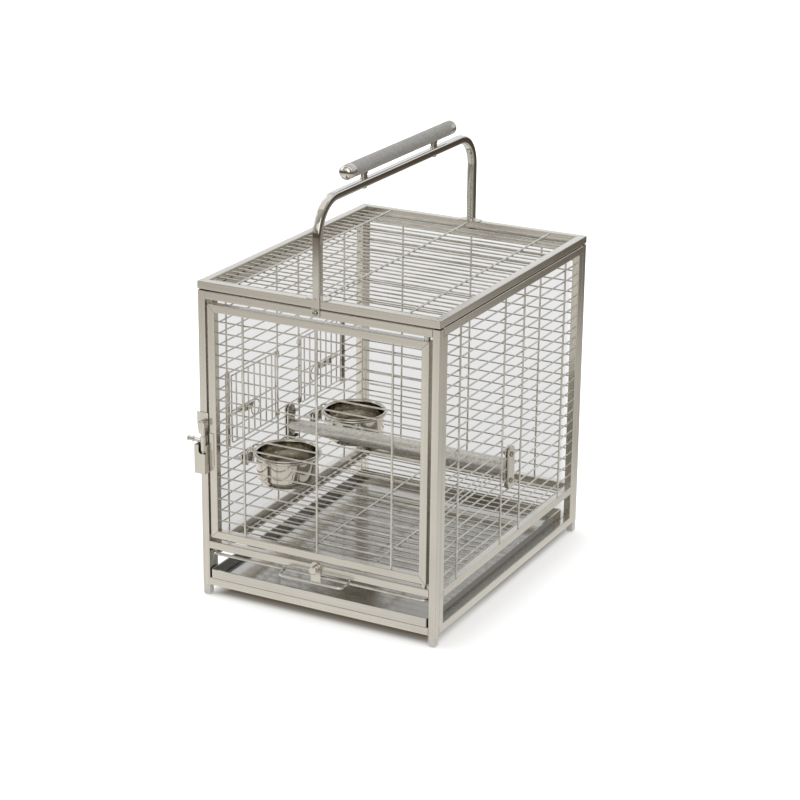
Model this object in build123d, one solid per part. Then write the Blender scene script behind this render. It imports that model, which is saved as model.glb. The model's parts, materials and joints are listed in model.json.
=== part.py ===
"""Bird travel carrier in stainless steel tube and welded wire.

A box of square tube stands on four capped feet. Wire panels close its sides and back. The front is
a pin-hung door with a slide latch, and below the door a wire grate and a drip tray pull out. Two
feeder doors in the left side reach two lift-out bowls, a perch is clamped across the middle, and a
tube handle with a round grip is strapped over the lid.

X runs left to right, Y front to back and Z up, in millimetres. The origin is on the floor, under
the middle of everything that sticks out. Each piece is written as its own STEP file.
"""
import os
from math import cos, radians, sin, sqrt

from build123d import *

os.makedirs("parts", exist_ok=True)

# ---------------------------------------------------------------- body
body_width = 358.0        # outside of the posts, left to right
body_depth = 457.0        # outside of the posts, front to back
body_top = 437.5          # top of the posts above the floor
tube = 11.1               # side of the square tube
tube_wall = 1.0
tube_corner = 1.2         # outside corner radius of the tube
foot_height = 16.0        # floor to the bottom rails
foot_side = 10.3          # side of the cap below the post
foot_round = 3.0
foot_plug = 9.0           # length of the cap's plug inside the post
lower_rail_rise = 37.4    # bottom rails to lower rails, clear height
sill_rise = 43.2          # bottom rail to door sill, clear height at the front
lid_gap = 1.5             # body to lid
lid_pad = 4.0             # length of the pads that carry the lid

# ---------------------------------------------------------------- wire panels
row_wire = 2.2            # thin horizontal wire
col_wire = 2.7            # upright wire of the side and back panels
pitch = 15.75             # centre to centre of the thin wires
first_row = 13.3          # top rail to the first thin wire
shared_gap_count = 4      # lowest gaps of a body panel, which share the height left over
wire_inset = 3.0          # face of the frame to the centre of the upright wires
weld_sink = 0.3           # depth that crossing wires melt into each other
side_col_near = 30.0      # uprights of a side panel, from its middle
side_col_far = 164.0
back_col_space = 111.5    # uprights of the back panel, centre to centre
lid_col_space = 127.0     # long wires of the lid, centre to centre
lid_first_row = 9.7       # front of the lid's opening to its first cross wire
lid_wire_drop = 0.2       # lid face to the top of its long wires

# ---------------------------------------------------------------- front door
door_gap_latch = 3.0      # post to door at the latch
door_gap_hinge = 4.0      # post to door at the hinge
door_gap_top = 5.9
door_gap_bottom = 5.6
door_col_wire = 3.2
door_col_space = 111.5
hinge_pin = 4.0           # pin diameter
hinge_pin_bite = 5.0      # length of the pin inside the rail
hinge_spacer = 8.0        # outside diameter of the collar between rail and door
bush_length = 10.0
pin_clearance = 0.075     # radial, pin in bush
rest_gap = 0.3            # gap between pieces that rest or slide on each other
stop_width = 8.0
stop_thick = 1.5
stop_overlap = 9.0        # how far a stop reaches behind the door
keeper_width = 6.0
keeper_length = 47.0
keeper_rise = 9.7         # bottom of the latch to the bottom of the keeper
sheet = 1.2               # thickness of the small bent sheet pieces

# ---------------------------------------------------------------- latch on the front left post
latch_base = 182.3        # floor to the bottom of the latch
latch_width = 17.4
latch_gap = 0.5           # latch to the door's free edge
latch_box_height = 40.7
latch_notch = 11.9        # depth of the notch in the front of the latch box
notch_round = 4.0         # corner radius of the notch
notch_gap = 0.4           # notch to the side of the barrel
latch_bolt_offset = 3.2   # middle of the latch to the bolt, toward the door
latch_barrel = 8.0        # diameter of the thick part of the bolt
latch_barrel_length = 22.0
latch_rod = 7.0           # diameter of the thin part of the bolt
latch_lift = 31.1         # bottom of the latch to the bottom of the barrel
latch_tail = 26.0         # length of the bolt below the barrel
latch_nose = 21.6         # length of the bolt above the barrel
latch_knob = 7.3          # diameter of the knob on the side arm
latch_arm_reach = 24.8    # bolt centre to the tip of the knob
latch_arm_height = 15.2   # bottom of the barrel to the arm
latch_travel = 12.0
plate_bottom = 53.5       # bottom of the latch to the upper plate
plate_height = 31.5
plate_taper = 2.0         # how much each side of the plate draws in toward its bottom
guide_height = 8.0        # height of the guide on the upper plate
tail_guide_drop = 8.0     # notch to the guide inside the latch box
tail_guide_height = 2.0

# ---------------------------------------------------------------- grate and tray
grate_rim = 4.0           # rod round the edge of the grate
grate_col_wire = 2.6
grate_col_space = 100.0   # between the two long wires of the grate
grate_side_gap = 1.0      # runner to the edge of the grate
grate_back_gap = 3.0
runner_width = 10.0
runner_sheet = 1.0
loop_wire = 3.6
loop_width = 98.0         # centre to centre of the loop's sides
loop_reach = 19.0         # face of the body to the centre of the loop's front
loop_bend = 7.0
tab_width = 15.0
tab_thick = 1.5
tab_below = 9.0           # centre of the grate rim to the bottom of the tab
tab_above = 10.0          # thumb screw to the top of the tab
tab_gap = 0.5             # tab to the sill
screw_shank = 5.0
screw_knob = 11.5
screw_knob_length = 9.0
screw_bite = 6.0          # length of the thumb screw behind the face of the sill
tray_height = 12.4
tray_depth = 432.0
tray_side_gap = 1.8
tray_wall = 1.0
tray_hem = 2.2            # thickness of the folded edge
tray_hem_height = 5.0

# ---------------------------------------------------------------- perch
perch_thick = 22.5        # diameter of the thick half of the perch
perch_thin = 18.0         # diameter at its left end
perch_wall = 1.5
perch_high_row = 14       # the upper perch bolts pass just above this thin wire, counted from the top
perch_low_row = 16        # the lower perch bolts pass just below this one
perch_plate_length = 63.0
perch_plate_width = 19.0
perch_hub = 7.0           # diameter of the wing nuts on the perch bolts
perch_hub_length = 4.0
perch_wing_span = 16.0
perch_wing_height = 6.0
perch_wing_thick = 1.4
perch_wing_turn = 30.0    # degrees from level
bolt_gap = 0.35           # a clamp bolt to the thin wire beside it
clamp_plate = 2.0         # thickness of every clamp plate
clamp_gap = 0.1           # clamp plate to wire
bolt = 4.0                # shank diameter of the small bolts
bolt_head = 8.0
bolt_head_height = 2.6
thread_end = 2.0          # length of a clamp bolt beyond its nut
nut_clearance = 0.05
hole_clearance = 0.1      # radial, bolt in a plate

# ---------------------------------------------------------------- bowls
bowl_rim = 46.2           # radius of the bowl's rim
bowl_body = 43.0          # radius of the bowl under its rim
bowl_depth = 45.5
bowl_corner = 12.5
bowl_wall = 0.8
bowl_lip = 2.4            # thickness of the rim
bowl_from_side = 70.0     # left face of the body to the bowl's centre
bowl_top = 187.5          # rim above the floor
front_bowl_from_perch = 117.0   # middle of the perch to the front bowl's centre
rear_bowl_from_perch = 74.5
ring_wire = 3.2
ring_clearance = 1.3      # bowl to the inside of its ring
ring_arm_space = 16.0
ring_arm_bend = 5.0
bowl_plate_width = 26.0
bowl_plate_height = 16.0
bowl_bolt = 5.0
bowl_bolt_head = 10.0
wing_hub = 9.0
wing_hub_length = 5.0
wing_span = 24.0
wing_height = 8.0
wing_thick = 1.6

# ---------------------------------------------------------------- feeder doors
feeder_high_row = 7       # thin wire above a feeder opening, counted from the top
feeder_low_row = 14       # thin wire below it
feeder_gap = 6.4          # height between a feeder door and those wires, centre to centre
feeder_wire = 2.2
feeder_edge_gap = 6.0     # hinge wire to the feeder door's edge wire
knuckle = 6.0             # outside diameter of the hinge knuckles
knuckle_length = 7.0
strip_width = 10.5
feeder_bolt = 4.0
feeder_box_length = 30.0
feeder_box_height = 9.0
feeder_box_depth = 7.0
feeder_latch_height = 37.0   # bottom wire of the door to the bolt
feeder_rail_below = 15.5  # bolt to the cross wire below it
feeder_rail_above = 9.0   # bolt to the cross wire above it
feeder_box_from_edge = 28.0  # free edge of the door to the bolt's box
pull_ring = 24.0          # outside diameter of the pull ring
pull_wire = 2.2
pull_stem = 5.0           # case to the ring
pull_hang = 50.0          # how far the ring hangs, in degrees from level

# ---------------------------------------------------------------- handle
handle_height = 132.2     # lid to the top of the bar
handle_bend = 45.0        # bend radius on the centre line
bracket_width = 32.0
bracket_depth = 15.0
bracket_thick = 1.5
strap_width = 12.5
strap_drop = 22.0         # lid face to the bottom of the strap
strap_screw_drop = 17.0   # lid face to the screw
strap_head = 8.0
grip_diameter = 20.0
grip_wall = 1.2
grip_length = 297.0
grip_lift = 8.2           # bar to the bottom of the grip
grip_cap_rim = 2.0
grip_cap_dome = 3.5
grip_plug = 8.0
standoff = 10.0           # diameter of the posts between bar and grip
standoff_space = 200.6
saddle = 1.5              # how far the posts wrap up round the grip

# ---------------------------------------------------------------- places that follow
row_inset = wire_inset + (col_wire + row_wire) / 2 - weld_sink
latch_from_side = tube + door_gap_latch - latch_gap - latch_width / 2
bolt_from_side = latch_from_side + latch_bolt_offset
left_reach = latch_arm_reach - bolt_from_side
right_reach = max(0.0, row_wire / 2 + clamp_plate + clamp_gap + bolt_head_height - row_inset)
front_reach = loop_reach + loop_wire / 2
back_reach = bracket_thick + bolt_head_height

left_face = (left_reach - body_width - right_reach) / 2
right_face = left_face + body_width
front_face = (front_reach - body_depth - back_reach) / 2
back_face = front_face + body_depth
mid_x = (left_face + right_face) / 2
mid_y = (front_face + back_face) / 2

bottom_rail_top = foot_height + tube
lower_rail_bottom = bottom_rail_top + lower_rail_rise
lower_rail_top = lower_rail_bottom + tube
sill_bottom = bottom_rail_top + sill_rise
sill_top = sill_bottom + tube
top_rail_bottom = body_top - tube
lid_bottom = body_top + lid_gap
lid_top = lid_bottom + tube

door_left = left_face + tube + door_gap_latch
door_right = right_face - tube - door_gap_hinge
door_bottom = sill_top + door_gap_bottom
door_top = top_rail_bottom - door_gap_top
hinge_x = door_right - tube / 2
hinge_y = front_face + tube / 2


def panel_rows(top, bottom, shared=0):
    """Heights of the thin wires from the top down. The lowest gaps share what is left evenly."""
    count = int((top - first_row - bottom - pitch / 3) / pitch)
    rows = [top - first_row - k * pitch for k in range(count - shared + 1)]
    gap = (rows[-1] - bottom) / max(shared, 1)
    return rows + [rows[-1] - k * gap for k in range(1, shared)]


side_rows = panel_rows(top_rail_bottom, lower_rail_top, shared_gap_count)
wire_margin = row_wire / 2 + bolt_gap
upper_bolt_z = side_rows[perch_high_row] + wire_margin + bolt / 2
lower_bolt_z = side_rows[perch_low_row] - wire_margin - bolt / 2
perch_z = (upper_bolt_z + lower_bolt_z) / 2
bowl_bolt_low = side_rows[perch_low_row] + wire_margin


# ---------------------------------------------------------------- helpers
low = (Align.CENTER, Align.CENTER, Align.MIN)


def save(name, *pieces):
    """Write the solids of one node to its STEP file."""
    solids = [solid for piece in pieces for solid in piece.solids()]
    export_step(Compound(children=solids), f"parts/{name}.step")
    print(f"{name:24s} {len(solids):3d} solid(s)")


def box(x, y, z):
    """A box from its low and high limits along each axis."""
    size = (x[1] - x[0], y[1] - y[0], z[1] - z[0])
    return Pos(x[0], y[0], z[0]) * Box(*size, align=(Align.MIN, Align.MIN, Align.MIN))


def rod(start, end, diameter):
    """A round rod between two points, or the hole for one."""
    run = Vector(*end) - Vector(*start)
    return extrude(Plane(origin=start, z_dir=run) * Circle(diameter / 2), amount=run.length)


def along(axis, point, ends, diameter):
    """A round rod or hole along one axis, through a point, from one limit to another."""
    start = list(point)
    stop = list(point)
    place = "XYZ".index(axis)
    start[place], stop[place] = ends
    return rod(start, stop, diameter)


def tube_between(start, end):
    """A square tube between the centres of its two ends, along one axis."""
    run = Vector(*end) - Vector(*start)
    inside = tube - 2 * tube_wall
    section = RectangleRounded(tube, tube, tube_corner) - Rectangle(inside, inside)
    return extrude(Plane(origin=start, z_dir=run) * section, amount=run.length)


def mitred_frame(plane, width, height):
    """Four tubes mitred round a rectangle that is centred on the plane: bottom, top, left, right."""
    bars = []
    for length, across, turn in ((width, height, 0), (height, width, 90)):
        edge = across / 2
        corners = [(-length / 2, -edge), (length / 2, -edge)]
        corners += [(length / 2 - tube, tube - edge), (tube - length / 2, tube - edge)]
        wedge = extrude(make_face(Polyline(*corners, close=True)), amount=tube, both=True)
        centre = tube / 2 - edge
        bar = tube_between((-length / 2, centre, 0), (length / 2, centre, 0)) & wedge
        for flip in (0, 180):
            bars.append(plane * Rot(0, 0, turn + flip) * bar)
    bottom, top, right, left = bars
    return bottom, top, left, right


def grille(plane, rows, cols, row_size, col_size, row_side):
    """Crossing wires welded into one panel.

    rows are (v, u from, u to) and cols are (u, v from, v to) in the plane, whose centres the
    cols keep. The rows lie on the side of the cols that row_side names, 1 or -1.
    """
    offset = row_side * ((row_size + col_size) / 2 - weld_sink)
    wires = [rod((u0, v, offset), (u1, v, offset), row_size) for v, u0, u1 in rows]
    wires += [rod((u, v0, 0), (u, v1, 0), col_size) for u, v0, v1 in cols]
    return plane * (wires[0] + wires[1:])


def upright_plane(origin, along):
    """A plane whose first axis is along X or Y and whose second axis is up."""
    normal = Vector(*along).cross(Vector(0, 0, 1))
    return Plane(origin=origin, x_dir=along, z_dir=normal)


def screw(seat, direction, shank, length, head, head_height):
    """A domed screw whose head stands on the seat and whose shank runs along the direction."""
    dome = Pos(0, 0, -head_height) * Cylinder(head / 2, head_height, align=low)
    dome = fillet(dome.edges().sort_by(Axis.Z)[0], head_height * 0.8)
    stem = Cylinder(shank / 2, length, align=low)
    return Plane(origin=seat, z_dir=direction) * (dome + stem)


def wing_nut(shank, hub, hub_length, span, height, thick):
    """A wing nut that stands on its plane, with its wings along the second axis."""
    body = Cylinder(hub / 2, hub_length, align=low)
    wings = Pos(0, 0, hub_length / 2) * Box(thick, span, height, align=low)
    wings = fillet(wings.edges().filter_by(Axis.X), height * 0.3)
    wings -= Pos(0, 0, hub_length) * Box(span, hub - thick, height, align=low)
    return body + wings - Cylinder(shank / 2 + nut_clearance, height * 4)


# ---------------------------------------------------------------- posts, rails and feet
post_x = (left_face + tube / 2, right_face - tube / 2)
post_y = (front_face + tube / 2, back_face - tube / 2)
for side, x in zip(("left", "right"), post_x):
    for end, y in zip(("front", "back"), post_y):
        save(f"{end}_{side}_post", tube_between((x, y, foot_height), (x, y, body_top)))


def foot(x, y):
    """A rounded cap with a plug that fills the bottom of the post."""
    cap = Box(foot_side, foot_side, foot_height, align=low)
    cap = fillet(cap.edges().group_by(Axis.Z)[0], foot_round)
    cap = fillet(cap.edges().filter_by(Axis.Z), tube_corner)
    bore = tube - 2 * tube_wall - 2 * nut_clearance
    plug = Pos(0, 0, foot_height) * Box(bore, bore, foot_plug, align=low)
    return Pos(x, y, 0) * (cap + plug)


save("feet", *[foot(x, y) for x in post_x for y in post_y])


def cross_rail(y, bottom):
    """A rail from post to post along X."""
    height = bottom + tube / 2
    return tube_between((left_face + tube, y, height), (right_face - tube, y, height))


thumb_z = sill_bottom + tube / 2
strap_screw_z = lid_top - strap_screw_drop
front_top = cross_rail(post_y[0], top_rail_bottom)
hinge_line = (hinge_x, hinge_y, 0)
front_strap_hole = (front_face - 1, front_face + tube / 2)
front_top -= along("Y", (mid_x, 0, strap_screw_z), front_strap_hole, bolt)
front_top -= along("Z", hinge_line, (top_rail_bottom - 1, top_rail_bottom + tube / 2), hinge_pin)
sill = cross_rail(post_y[0], sill_bottom)
screw_hole = screw_shank + 2 * rest_gap
sill -= along("Y", (mid_x, 0, thumb_z), (front_face - 1, front_face + tube / 2), screw_hole)
sill -= along("Z", hinge_line, (sill_top - tube / 2, sill_top + 1), hinge_pin)
save("front_rails", front_top, sill, cross_rail(post_y[0], foot_height))

back_top = cross_rail(post_y[1], top_rail_bottom)
back_top -= along("Y", (mid_x, 0, strap_screw_z), (back_face - tube / 2, back_face + 1), bolt)
save("back_rails", back_top, cross_rail(post_y[1], lower_rail_bottom), cross_rail(post_y[1], foot_height))


def side_frame(x):
    """Top and bottom rails, two stiles beside the posts and a lower rail between the stiles."""
    near = front_face + tube
    far = back_face - tube
    bars = []
    for bottom in (top_rail_bottom, foot_height):
        bars.append(tube_between((x, near, bottom + tube / 2), (x, far, bottom + tube / 2)))
    for y in (near + tube / 2, far - tube / 2):
        bars.append(tube_between((x, y, bottom_rail_top), (x, y, top_rail_bottom)))
    middle = lower_rail_bottom + tube / 2
    bars.append(tube_between((x, near + tube, middle), (x, far - tube, middle)))
    return bars


save("left_side_frame", *side_frame(post_x[0]))
save("right_side_frame", *side_frame(post_x[1]))

# ---------------------------------------------------------------- wire panels of the body
panel_near = front_face + 2 * tube
panel_far = back_face - 2 * tube
side_cols = [mid_y + offset for offset in (-side_col_far, -side_col_near, side_col_near, side_col_far)]

right_plane = upright_plane((right_face - wire_inset, 0, 0), (0, 1, 0))
right_mesh = grille(
    right_plane,
    [(z, panel_near, panel_far) for z in side_rows],
    [(y, lower_rail_top, top_rail_bottom) for y in side_cols],
    row_wire, col_wire, -1,
)
save("right_mesh", right_mesh)

back_plane = upright_plane((0, back_face - wire_inset, 0), (1, 0, 0))
back_mesh = grille(
    back_plane,
    [(z, left_face + tube, right_face - tube) for z in side_rows],
    [(mid_x + k * back_col_space, lower_rail_top, top_rail_bottom) for k in (-1, 0, 1)],
    row_wire, col_wire, 1,
)
save("back_mesh", back_mesh)

# The left panel is welded from five grilles round the two feeder openings.
border_high = side_rows[feeder_high_row]
border_low = side_rows[feeder_low_row]
feeder_top = border_high - feeder_gap
feeder_bottom = border_low + feeder_gap
left_plane = upright_plane((left_face + wire_inset, 0, 0), (0, 1, 0))
above = side_rows[:feeder_high_row + 1]
beside = side_rows[feeder_high_row + 1:feeder_low_row]
below = side_rows[feeder_low_row:]


def left_grille(rows, cols, near, far):
    """One grille of the left panel, with uprights at cols between two heights."""
    return grille(left_plane, [(z, near, far) for z in rows], cols, row_wire, col_wire, 1)


border_reach = row_wire / 2
lower_cols = [(y, lower_rail_top, border_low + border_reach) for y in side_cols]
upper_cols = [(y, border_high - border_reach, top_rail_bottom) for y in side_cols]
middle_cols = [(y, border_low + border_reach, border_high - border_reach) for y in side_cols]
col_edge = col_wire / 2
save(
    "left_mesh",
    left_grille(below, lower_cols, panel_near, panel_far),
    left_grille(above, upper_cols, panel_near, panel_far),
    left_grille(beside, middle_cols[:1], panel_near, side_cols[0] + col_edge),
    left_grille(beside, middle_cols[1:3], side_cols[1] - col_edge, side_cols[2] + col_edge),
    left_grille(beside, middle_cols[3:], side_cols[3] - col_edge, panel_far),
)

# ---------------------------------------------------------------- lid
lid_plane = Plane(origin=(mid_x, mid_y, lid_bottom + tube / 2))
save("lid_frame", *mitred_frame(lid_plane, body_width, body_depth))

lid_near = front_face + tube
lid_far = back_face - tube
lid_start = lid_near + lid_first_row
lid_count = 1 + int((lid_far - lid_start - pitch / 3) / pitch)
lid_mesh = grille(
    Plane(origin=(0, 0, lid_top - lid_wire_drop - col_wire / 2)),
    [(lid_start + k * pitch, left_face + tube, right_face - tube) for k in range(lid_count)],
    [(mid_x + k * lid_col_space, lid_near, lid_far) for k in (-1, 0, 1)],
    row_wire, col_wire, -1,
)
save("lid_mesh", lid_mesh)

pads = []
for x in post_x:
    for y in (front_face + tube, back_face - tube - lid_pad):
        half = tube / 2 - tube_corner
        pads.append(box((x - half, x + half), (y, y + lid_pad), (body_top, lid_bottom)))
save("lid_pads", *pads)

# ---------------------------------------------------------------- runners under the grate and tray
grate_z = lower_rail_bottom
grate_seat = grate_z - grate_rim / 2 - rest_gap


def runner(side, top, wall_bottom, wall_top):
    """An angle along a side rail: a flat ledge whose top is at top, and a wall on the rail."""
    face = left_face + tube if side < 0 else right_face - tube
    near = front_face + tube
    far = back_face - tube
    ledge_x = sorted((face, face - side * runner_width))
    wall_x = sorted((face, face - side * runner_sheet))
    ledge = box(ledge_x, (near, far), (top - runner_sheet, top))
    return ledge + box(wall_x, (near, far), (wall_bottom, wall_top))


save("tray_runners", *[runner(side, bottom_rail_top, foot_height, bottom_rail_top) for side in (-1, 1)])
grate_ledge = grate_seat - runner_sheet
save("grate_runners", *[runner(side, grate_seat, grate_ledge, lower_rail_top) for side in (-1, 1)])

# ---------------------------------------------------------------- front door
door_plane = upright_plane(((door_left + door_right) / 2, hinge_y, (door_bottom + door_top) / 2), (1, 0, 0))
door_bars = list(mitred_frame(door_plane, door_right - door_left, door_top - door_bottom))
bore = hinge_pin + 2 * pin_clearance
door_bars[0] -= along("Z", hinge_line, (door_bottom - 1, door_bottom + tube / 2), bore)
door_bars[1] -= along("Z", hinge_line, (door_top - tube / 2, door_top + 1), bore)
save("door_frame", *door_bars)

door_mid = (door_left + door_right) / 2
door_mesh = grille(
    upright_plane((0, front_face + wire_inset, 0), (1, 0, 0)),
    [(z, door_left + tube, door_right - tube) for z in panel_rows(door_top - tube, door_bottom + tube)],
    [(door_mid + k * door_col_space, door_bottom + tube, door_top - tube) for k in (-1, 0, 1)],
    row_wire, door_col_wire, -1,
)
save("door_mesh", door_mesh)

bush_side = tube - 2 * tube_wall - 2 * nut_clearance
bushes = []
pins = []
spacers = []
for inner, rail, sign in ((door_top, top_rail_bottom, 1), (door_bottom, sill_top, -1)):
    shell = inner - sign * tube_wall
    limits = sorted((shell, shell - sign * bush_length))
    half = bush_side / 2
    block = box((hinge_x - half, hinge_x + half), (hinge_y - half, hinge_y + half), limits)
    bushes.append(block - along("Z", hinge_line, (limits[0] - 1, limits[1] + 1), bore))
    pin_ends = (shell - sign * bush_length, rail + sign * hinge_pin_bite)
    pins.append(along("Z", hinge_line, pin_ends, hinge_pin))
    collar_end = inner + sign * rest_gap
    collar = along("Z", hinge_line, (collar_end, rail), hinge_spacer)
    spacers.append(collar - along("Z", hinge_line, (collar_end - sign, rail + sign), hinge_pin))
save("door_hinge_bushes", *bushes)
save("door_hinge_pins", *pins)
save("door_hinge_spacers", *spacers)

stop_y = front_face + tube
stop_x = (door_left + tube_corner, door_left + tube_corner + stop_width)
stops = []
for edge, rail_far, sign in ((door_top, body_top, 1), (door_bottom, sill_bottom, -1)):
    rail_near = top_rail_bottom if sign > 0 else sill_top
    foot_z = sorted((rail_near, rail_far - sign * tube_corner))
    blade_z = sorted((edge - sign * stop_overlap, rail_far - sign * tube_corner))
    blade = box(stop_x, (stop_y + rest_gap, stop_y + stop_thick), blade_z)
    stops.append(blade + box(stop_x, (stop_y, stop_y + stop_thick), foot_z))
save("door_stops", *stops)

keeper_x = (door_left + tube_corner, door_left + tube_corner + keeper_width)
keeper_low = latch_base + keeper_rise
keeper_z = (keeper_low, keeper_low + keeper_length)
save("door_keeper", box(keeper_x, (front_face - sheet, front_face), keeper_z))

# ---------------------------------------------------------------- latch
latch_x = left_face + latch_from_side
bolt_y = front_face - sheet - rest_gap - latch_barrel / 2
box_front = bolt_y - latch_barrel / 2 - rest_gap - sheet
barrel_bottom = latch_base + latch_lift
barrel_top = barrel_bottom + latch_barrel_length
box_top = latch_base + latch_box_height
rod_bore = latch_rod + 2 * hole_clearance
rod_x = left_face + bolt_from_side
rod_line = (rod_x, bolt_y, 0)

outer_x = (latch_x - latch_width / 2, latch_x + latch_width / 2)
inner_x = (outer_x[0] + sheet, outer_x[1] - sheet)
inner_y = (box_front + sheet, front_face - sheet)
latch_box = box(outer_x, (box_front, front_face), (latch_base, box_top))
latch_box = fillet(latch_box.edges().filter_by(Axis.Z).sort_by(Axis.Y)[:2], sheet)
latch_box -= box(inner_x, inner_y, (latch_base + sheet, box_top + 1))
notch_x = (rod_x - latch_barrel / 2 - notch_gap, latch_x + latch_width)
notch_low = box_top - latch_notch
notch = box(notch_x, (box_front - 1, bolt_y - latch_barrel / 4), (notch_low, box_top + latch_notch))
latch_box -= fillet(notch.edges().filter_by(Axis.Y).group_by(Axis.Z)[0].sort_by(Axis.X)[0], notch_round)
tail_guide_top = notch_low - tail_guide_drop
guide_limits = (tail_guide_top - tail_guide_height, tail_guide_top)
tail_guide = box(inner_x, inner_y, guide_limits)
tail_guide -= along("Z", rod_line, (guide_limits[0] - 1, guide_limits[1] + 1), rod_bore)
save("latch_box", latch_box + tail_guide)

plate_low = latch_base + plate_bottom
half = latch_width / 2
neck = half - plate_taper
outline = [(-half, plate_height), (half, plate_height), (half, plate_height / 2), (neck, 0)]
outline += [(-neck, 0), (-half, plate_height / 2)]
plate_plane = upright_plane((latch_x, front_face, plate_low), (1, 0, 0))
latch_plate = plate_plane * extrude(make_face(Polyline(*outline, close=True)), amount=sheet)
guide_low = barrel_top + latch_travel + rest_gap
guide_z = (guide_low, guide_low + guide_height)
guide_half = latch_rod / 2 + sheet + hole_clearance
guide_x = (rod_x - guide_half, rod_x + guide_half)
guide = box(guide_x, (bolt_y - guide_half, front_face - sheet), guide_z)
guide -= along("Z", rod_line, (guide_z[0] - 1, guide_z[1] + 1), rod_bore)
save("latch_plate", latch_plate + guide)

bolt_body = along("Z", rod_line, (barrel_bottom, barrel_top), latch_barrel)
bolt_body = fillet(bolt_body.edges().filter_by(GeomType.CIRCLE), sheet)
pin = along("Z", rod_line, (barrel_bottom - latch_tail, barrel_top + latch_nose), latch_rod)
bolt_body += fillet(pin.edges().filter_by(GeomType.CIRCLE), sheet)
arm_z = barrel_bottom + latch_arm_height
arm_plane = Plane(origin=(rod_x, bolt_y, arm_z), z_dir=(-1, 0, 0))
cone_length = latch_arm_reach / 2
cone = arm_plane * Cone(latch_barrel / 2, latch_knob * 0.35, cone_length, align=low)
knob = Cylinder(latch_knob / 2, latch_arm_reach - cone_length, align=low)
knob = fillet(knob.edges().filter_by(GeomType.CIRCLE), sheet / 2)
knob = arm_plane * Pos(0, 0, cone_length) * knob
save("latch_bolt", bolt_body + cone + knob)

# ---------------------------------------------------------------- grate with its loop and thumb screw
rim_front = front_face - tab_gap + grate_rim / 2
rim_back = back_face - tube - grate_back_gap - grate_rim / 2
rim_left = left_face + tube + runner_sheet + grate_side_gap + grate_rim / 2
rim_right = right_face - tube - runner_sheet - grate_side_gap - grate_rim / 2
grate_rows = []
grate_y = rim_front + pitch
while grate_y < rim_back - pitch / 2:
    grate_rows.append((grate_y, rim_left, rim_right))
    grate_y += pitch
grate_cols = [(mid_x + k * grate_col_space / 2, rim_front, rim_back) for k in (-1, 1)]
row_height = grate_z + grate_rim / 2 - weld_sink
col_height = row_height + (row_wire + grate_col_wire) / 2 - weld_sink
grate_mesh = grille(Plane(origin=(0, 0, col_height)), grate_rows, grate_cols, row_wire, grate_col_wire, -1)
corners = [(rim_left, rim_front), (rim_right, rim_front), (rim_right, rim_back), (rim_left, rim_back)]
rim_path = Pos(0, 0, grate_z) * FilletPolyline(*corners, radius=loop_bend, close=True)
rim_start = Plane(origin=rim_path @ 0, z_dir=rim_path % 0)
grate_rim_loop = sweep(rim_start * Circle(grate_rim / 2), path=rim_path)
save("grate", grate_mesh + grate_rim_loop)

loop_left = mid_x - loop_width / 2
loop_right = mid_x + loop_width / 2
loop_root = rim_front - grate_rim / 2 + weld_sink
loop_points = [(loop_left, loop_root), (loop_left, front_face - loop_reach)]
loop_points += [(loop_right, front_face - loop_reach), (loop_right, loop_root)]
loop_path = Pos(0, 0, grate_z) * FilletPolyline(*loop_points, radius=loop_bend)
loop_start = Plane(origin=loop_path @ 0, z_dir=loop_path % 0)
pull_loop = sweep(loop_start * Circle(loop_wire / 2), path=loop_path)
save("grate_loop", pull_loop - grate_rim_loop)

tab_low = grate_z - tab_below
tab_high = thumb_z + tab_above
tab_plane = upright_plane((mid_x, front_face - tab_gap, 0), (1, 0, 0))
tab_mid = (tab_low + tab_high) / 2
tab = Pos(0, tab_mid) * Rectangle(tab_width, tab_high - tab_low)
tab = fillet(tab.vertices().group_by(Axis.Y)[-1], tab_width * 0.45)
tab -= Pos(0, thumb_z) * Circle(screw_shank / 2 + pin_clearance)
save("grate_tab", tab_plane * extrude(tab, amount=tab_thick))

knob_back = front_face - tab_gap - tab_thick - nut_clearance
thumb_plane = Plane(origin=(mid_x, knob_back, thumb_z), z_dir=(0, -1, 0))
knob = Cylinder(screw_knob / 2, screw_knob_length, align=low)
knob = fillet(knob.edges().sort_by(Axis.Z)[-1], sheet)
knob = chamfer(knob.edges().sort_by(Axis.Z)[0], sheet / 2)
stem_length = screw_bite + front_face - knob_back
stem = Pos(0, 0, -stem_length) * Cylinder(screw_shank / 2, stem_length, align=low)
save("thumb_screw", thumb_plane * (knob + stem))

# ---------------------------------------------------------------- tray
tray_x = (left_face + tube + tray_side_gap, right_face - tube - tray_side_gap)
tray_y = (front_face, front_face + tray_depth)
tray_z = (bottom_rail_top + rest_gap, bottom_rail_top + rest_gap + tray_height)


def inward(limits, amount):
    """Limits pulled in by an amount at both ends."""
    return (limits[0] + amount, limits[1] - amount)


tray = box(tray_x, tray_y, tray_z)
tray = fillet(tray.edges().filter_by(Axis.Z), foot_round)
tray -= box(inward(tray_x, tray_hem), inward(tray_y, tray_hem), (tray_z[0] + tray_wall, tray_z[1] + 1))
pocket_top = tray_z[1] - tray_hem_height
tray -= box(inward(tray_x, tray_wall), inward(tray_y, tray_wall), (tray_z[0] + tray_wall, pocket_top))
save("tray", tray)

# ---------------------------------------------------------------- perch
inner_offset = row_inset + row_wire / 2 + clamp_gap
outer_offset = row_inset - row_wire / 2 - clamp_gap


def slot_plate(length, width, holes, hole):
    """An upright plate with round ends, its first axis up the plate, with holes along it."""
    face = SlotOverall(length, width)
    for place in holes:
        face -= Pos(place, 0) * Circle(hole / 2)
    return extrude(face, amount=clamp_plate)


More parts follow.
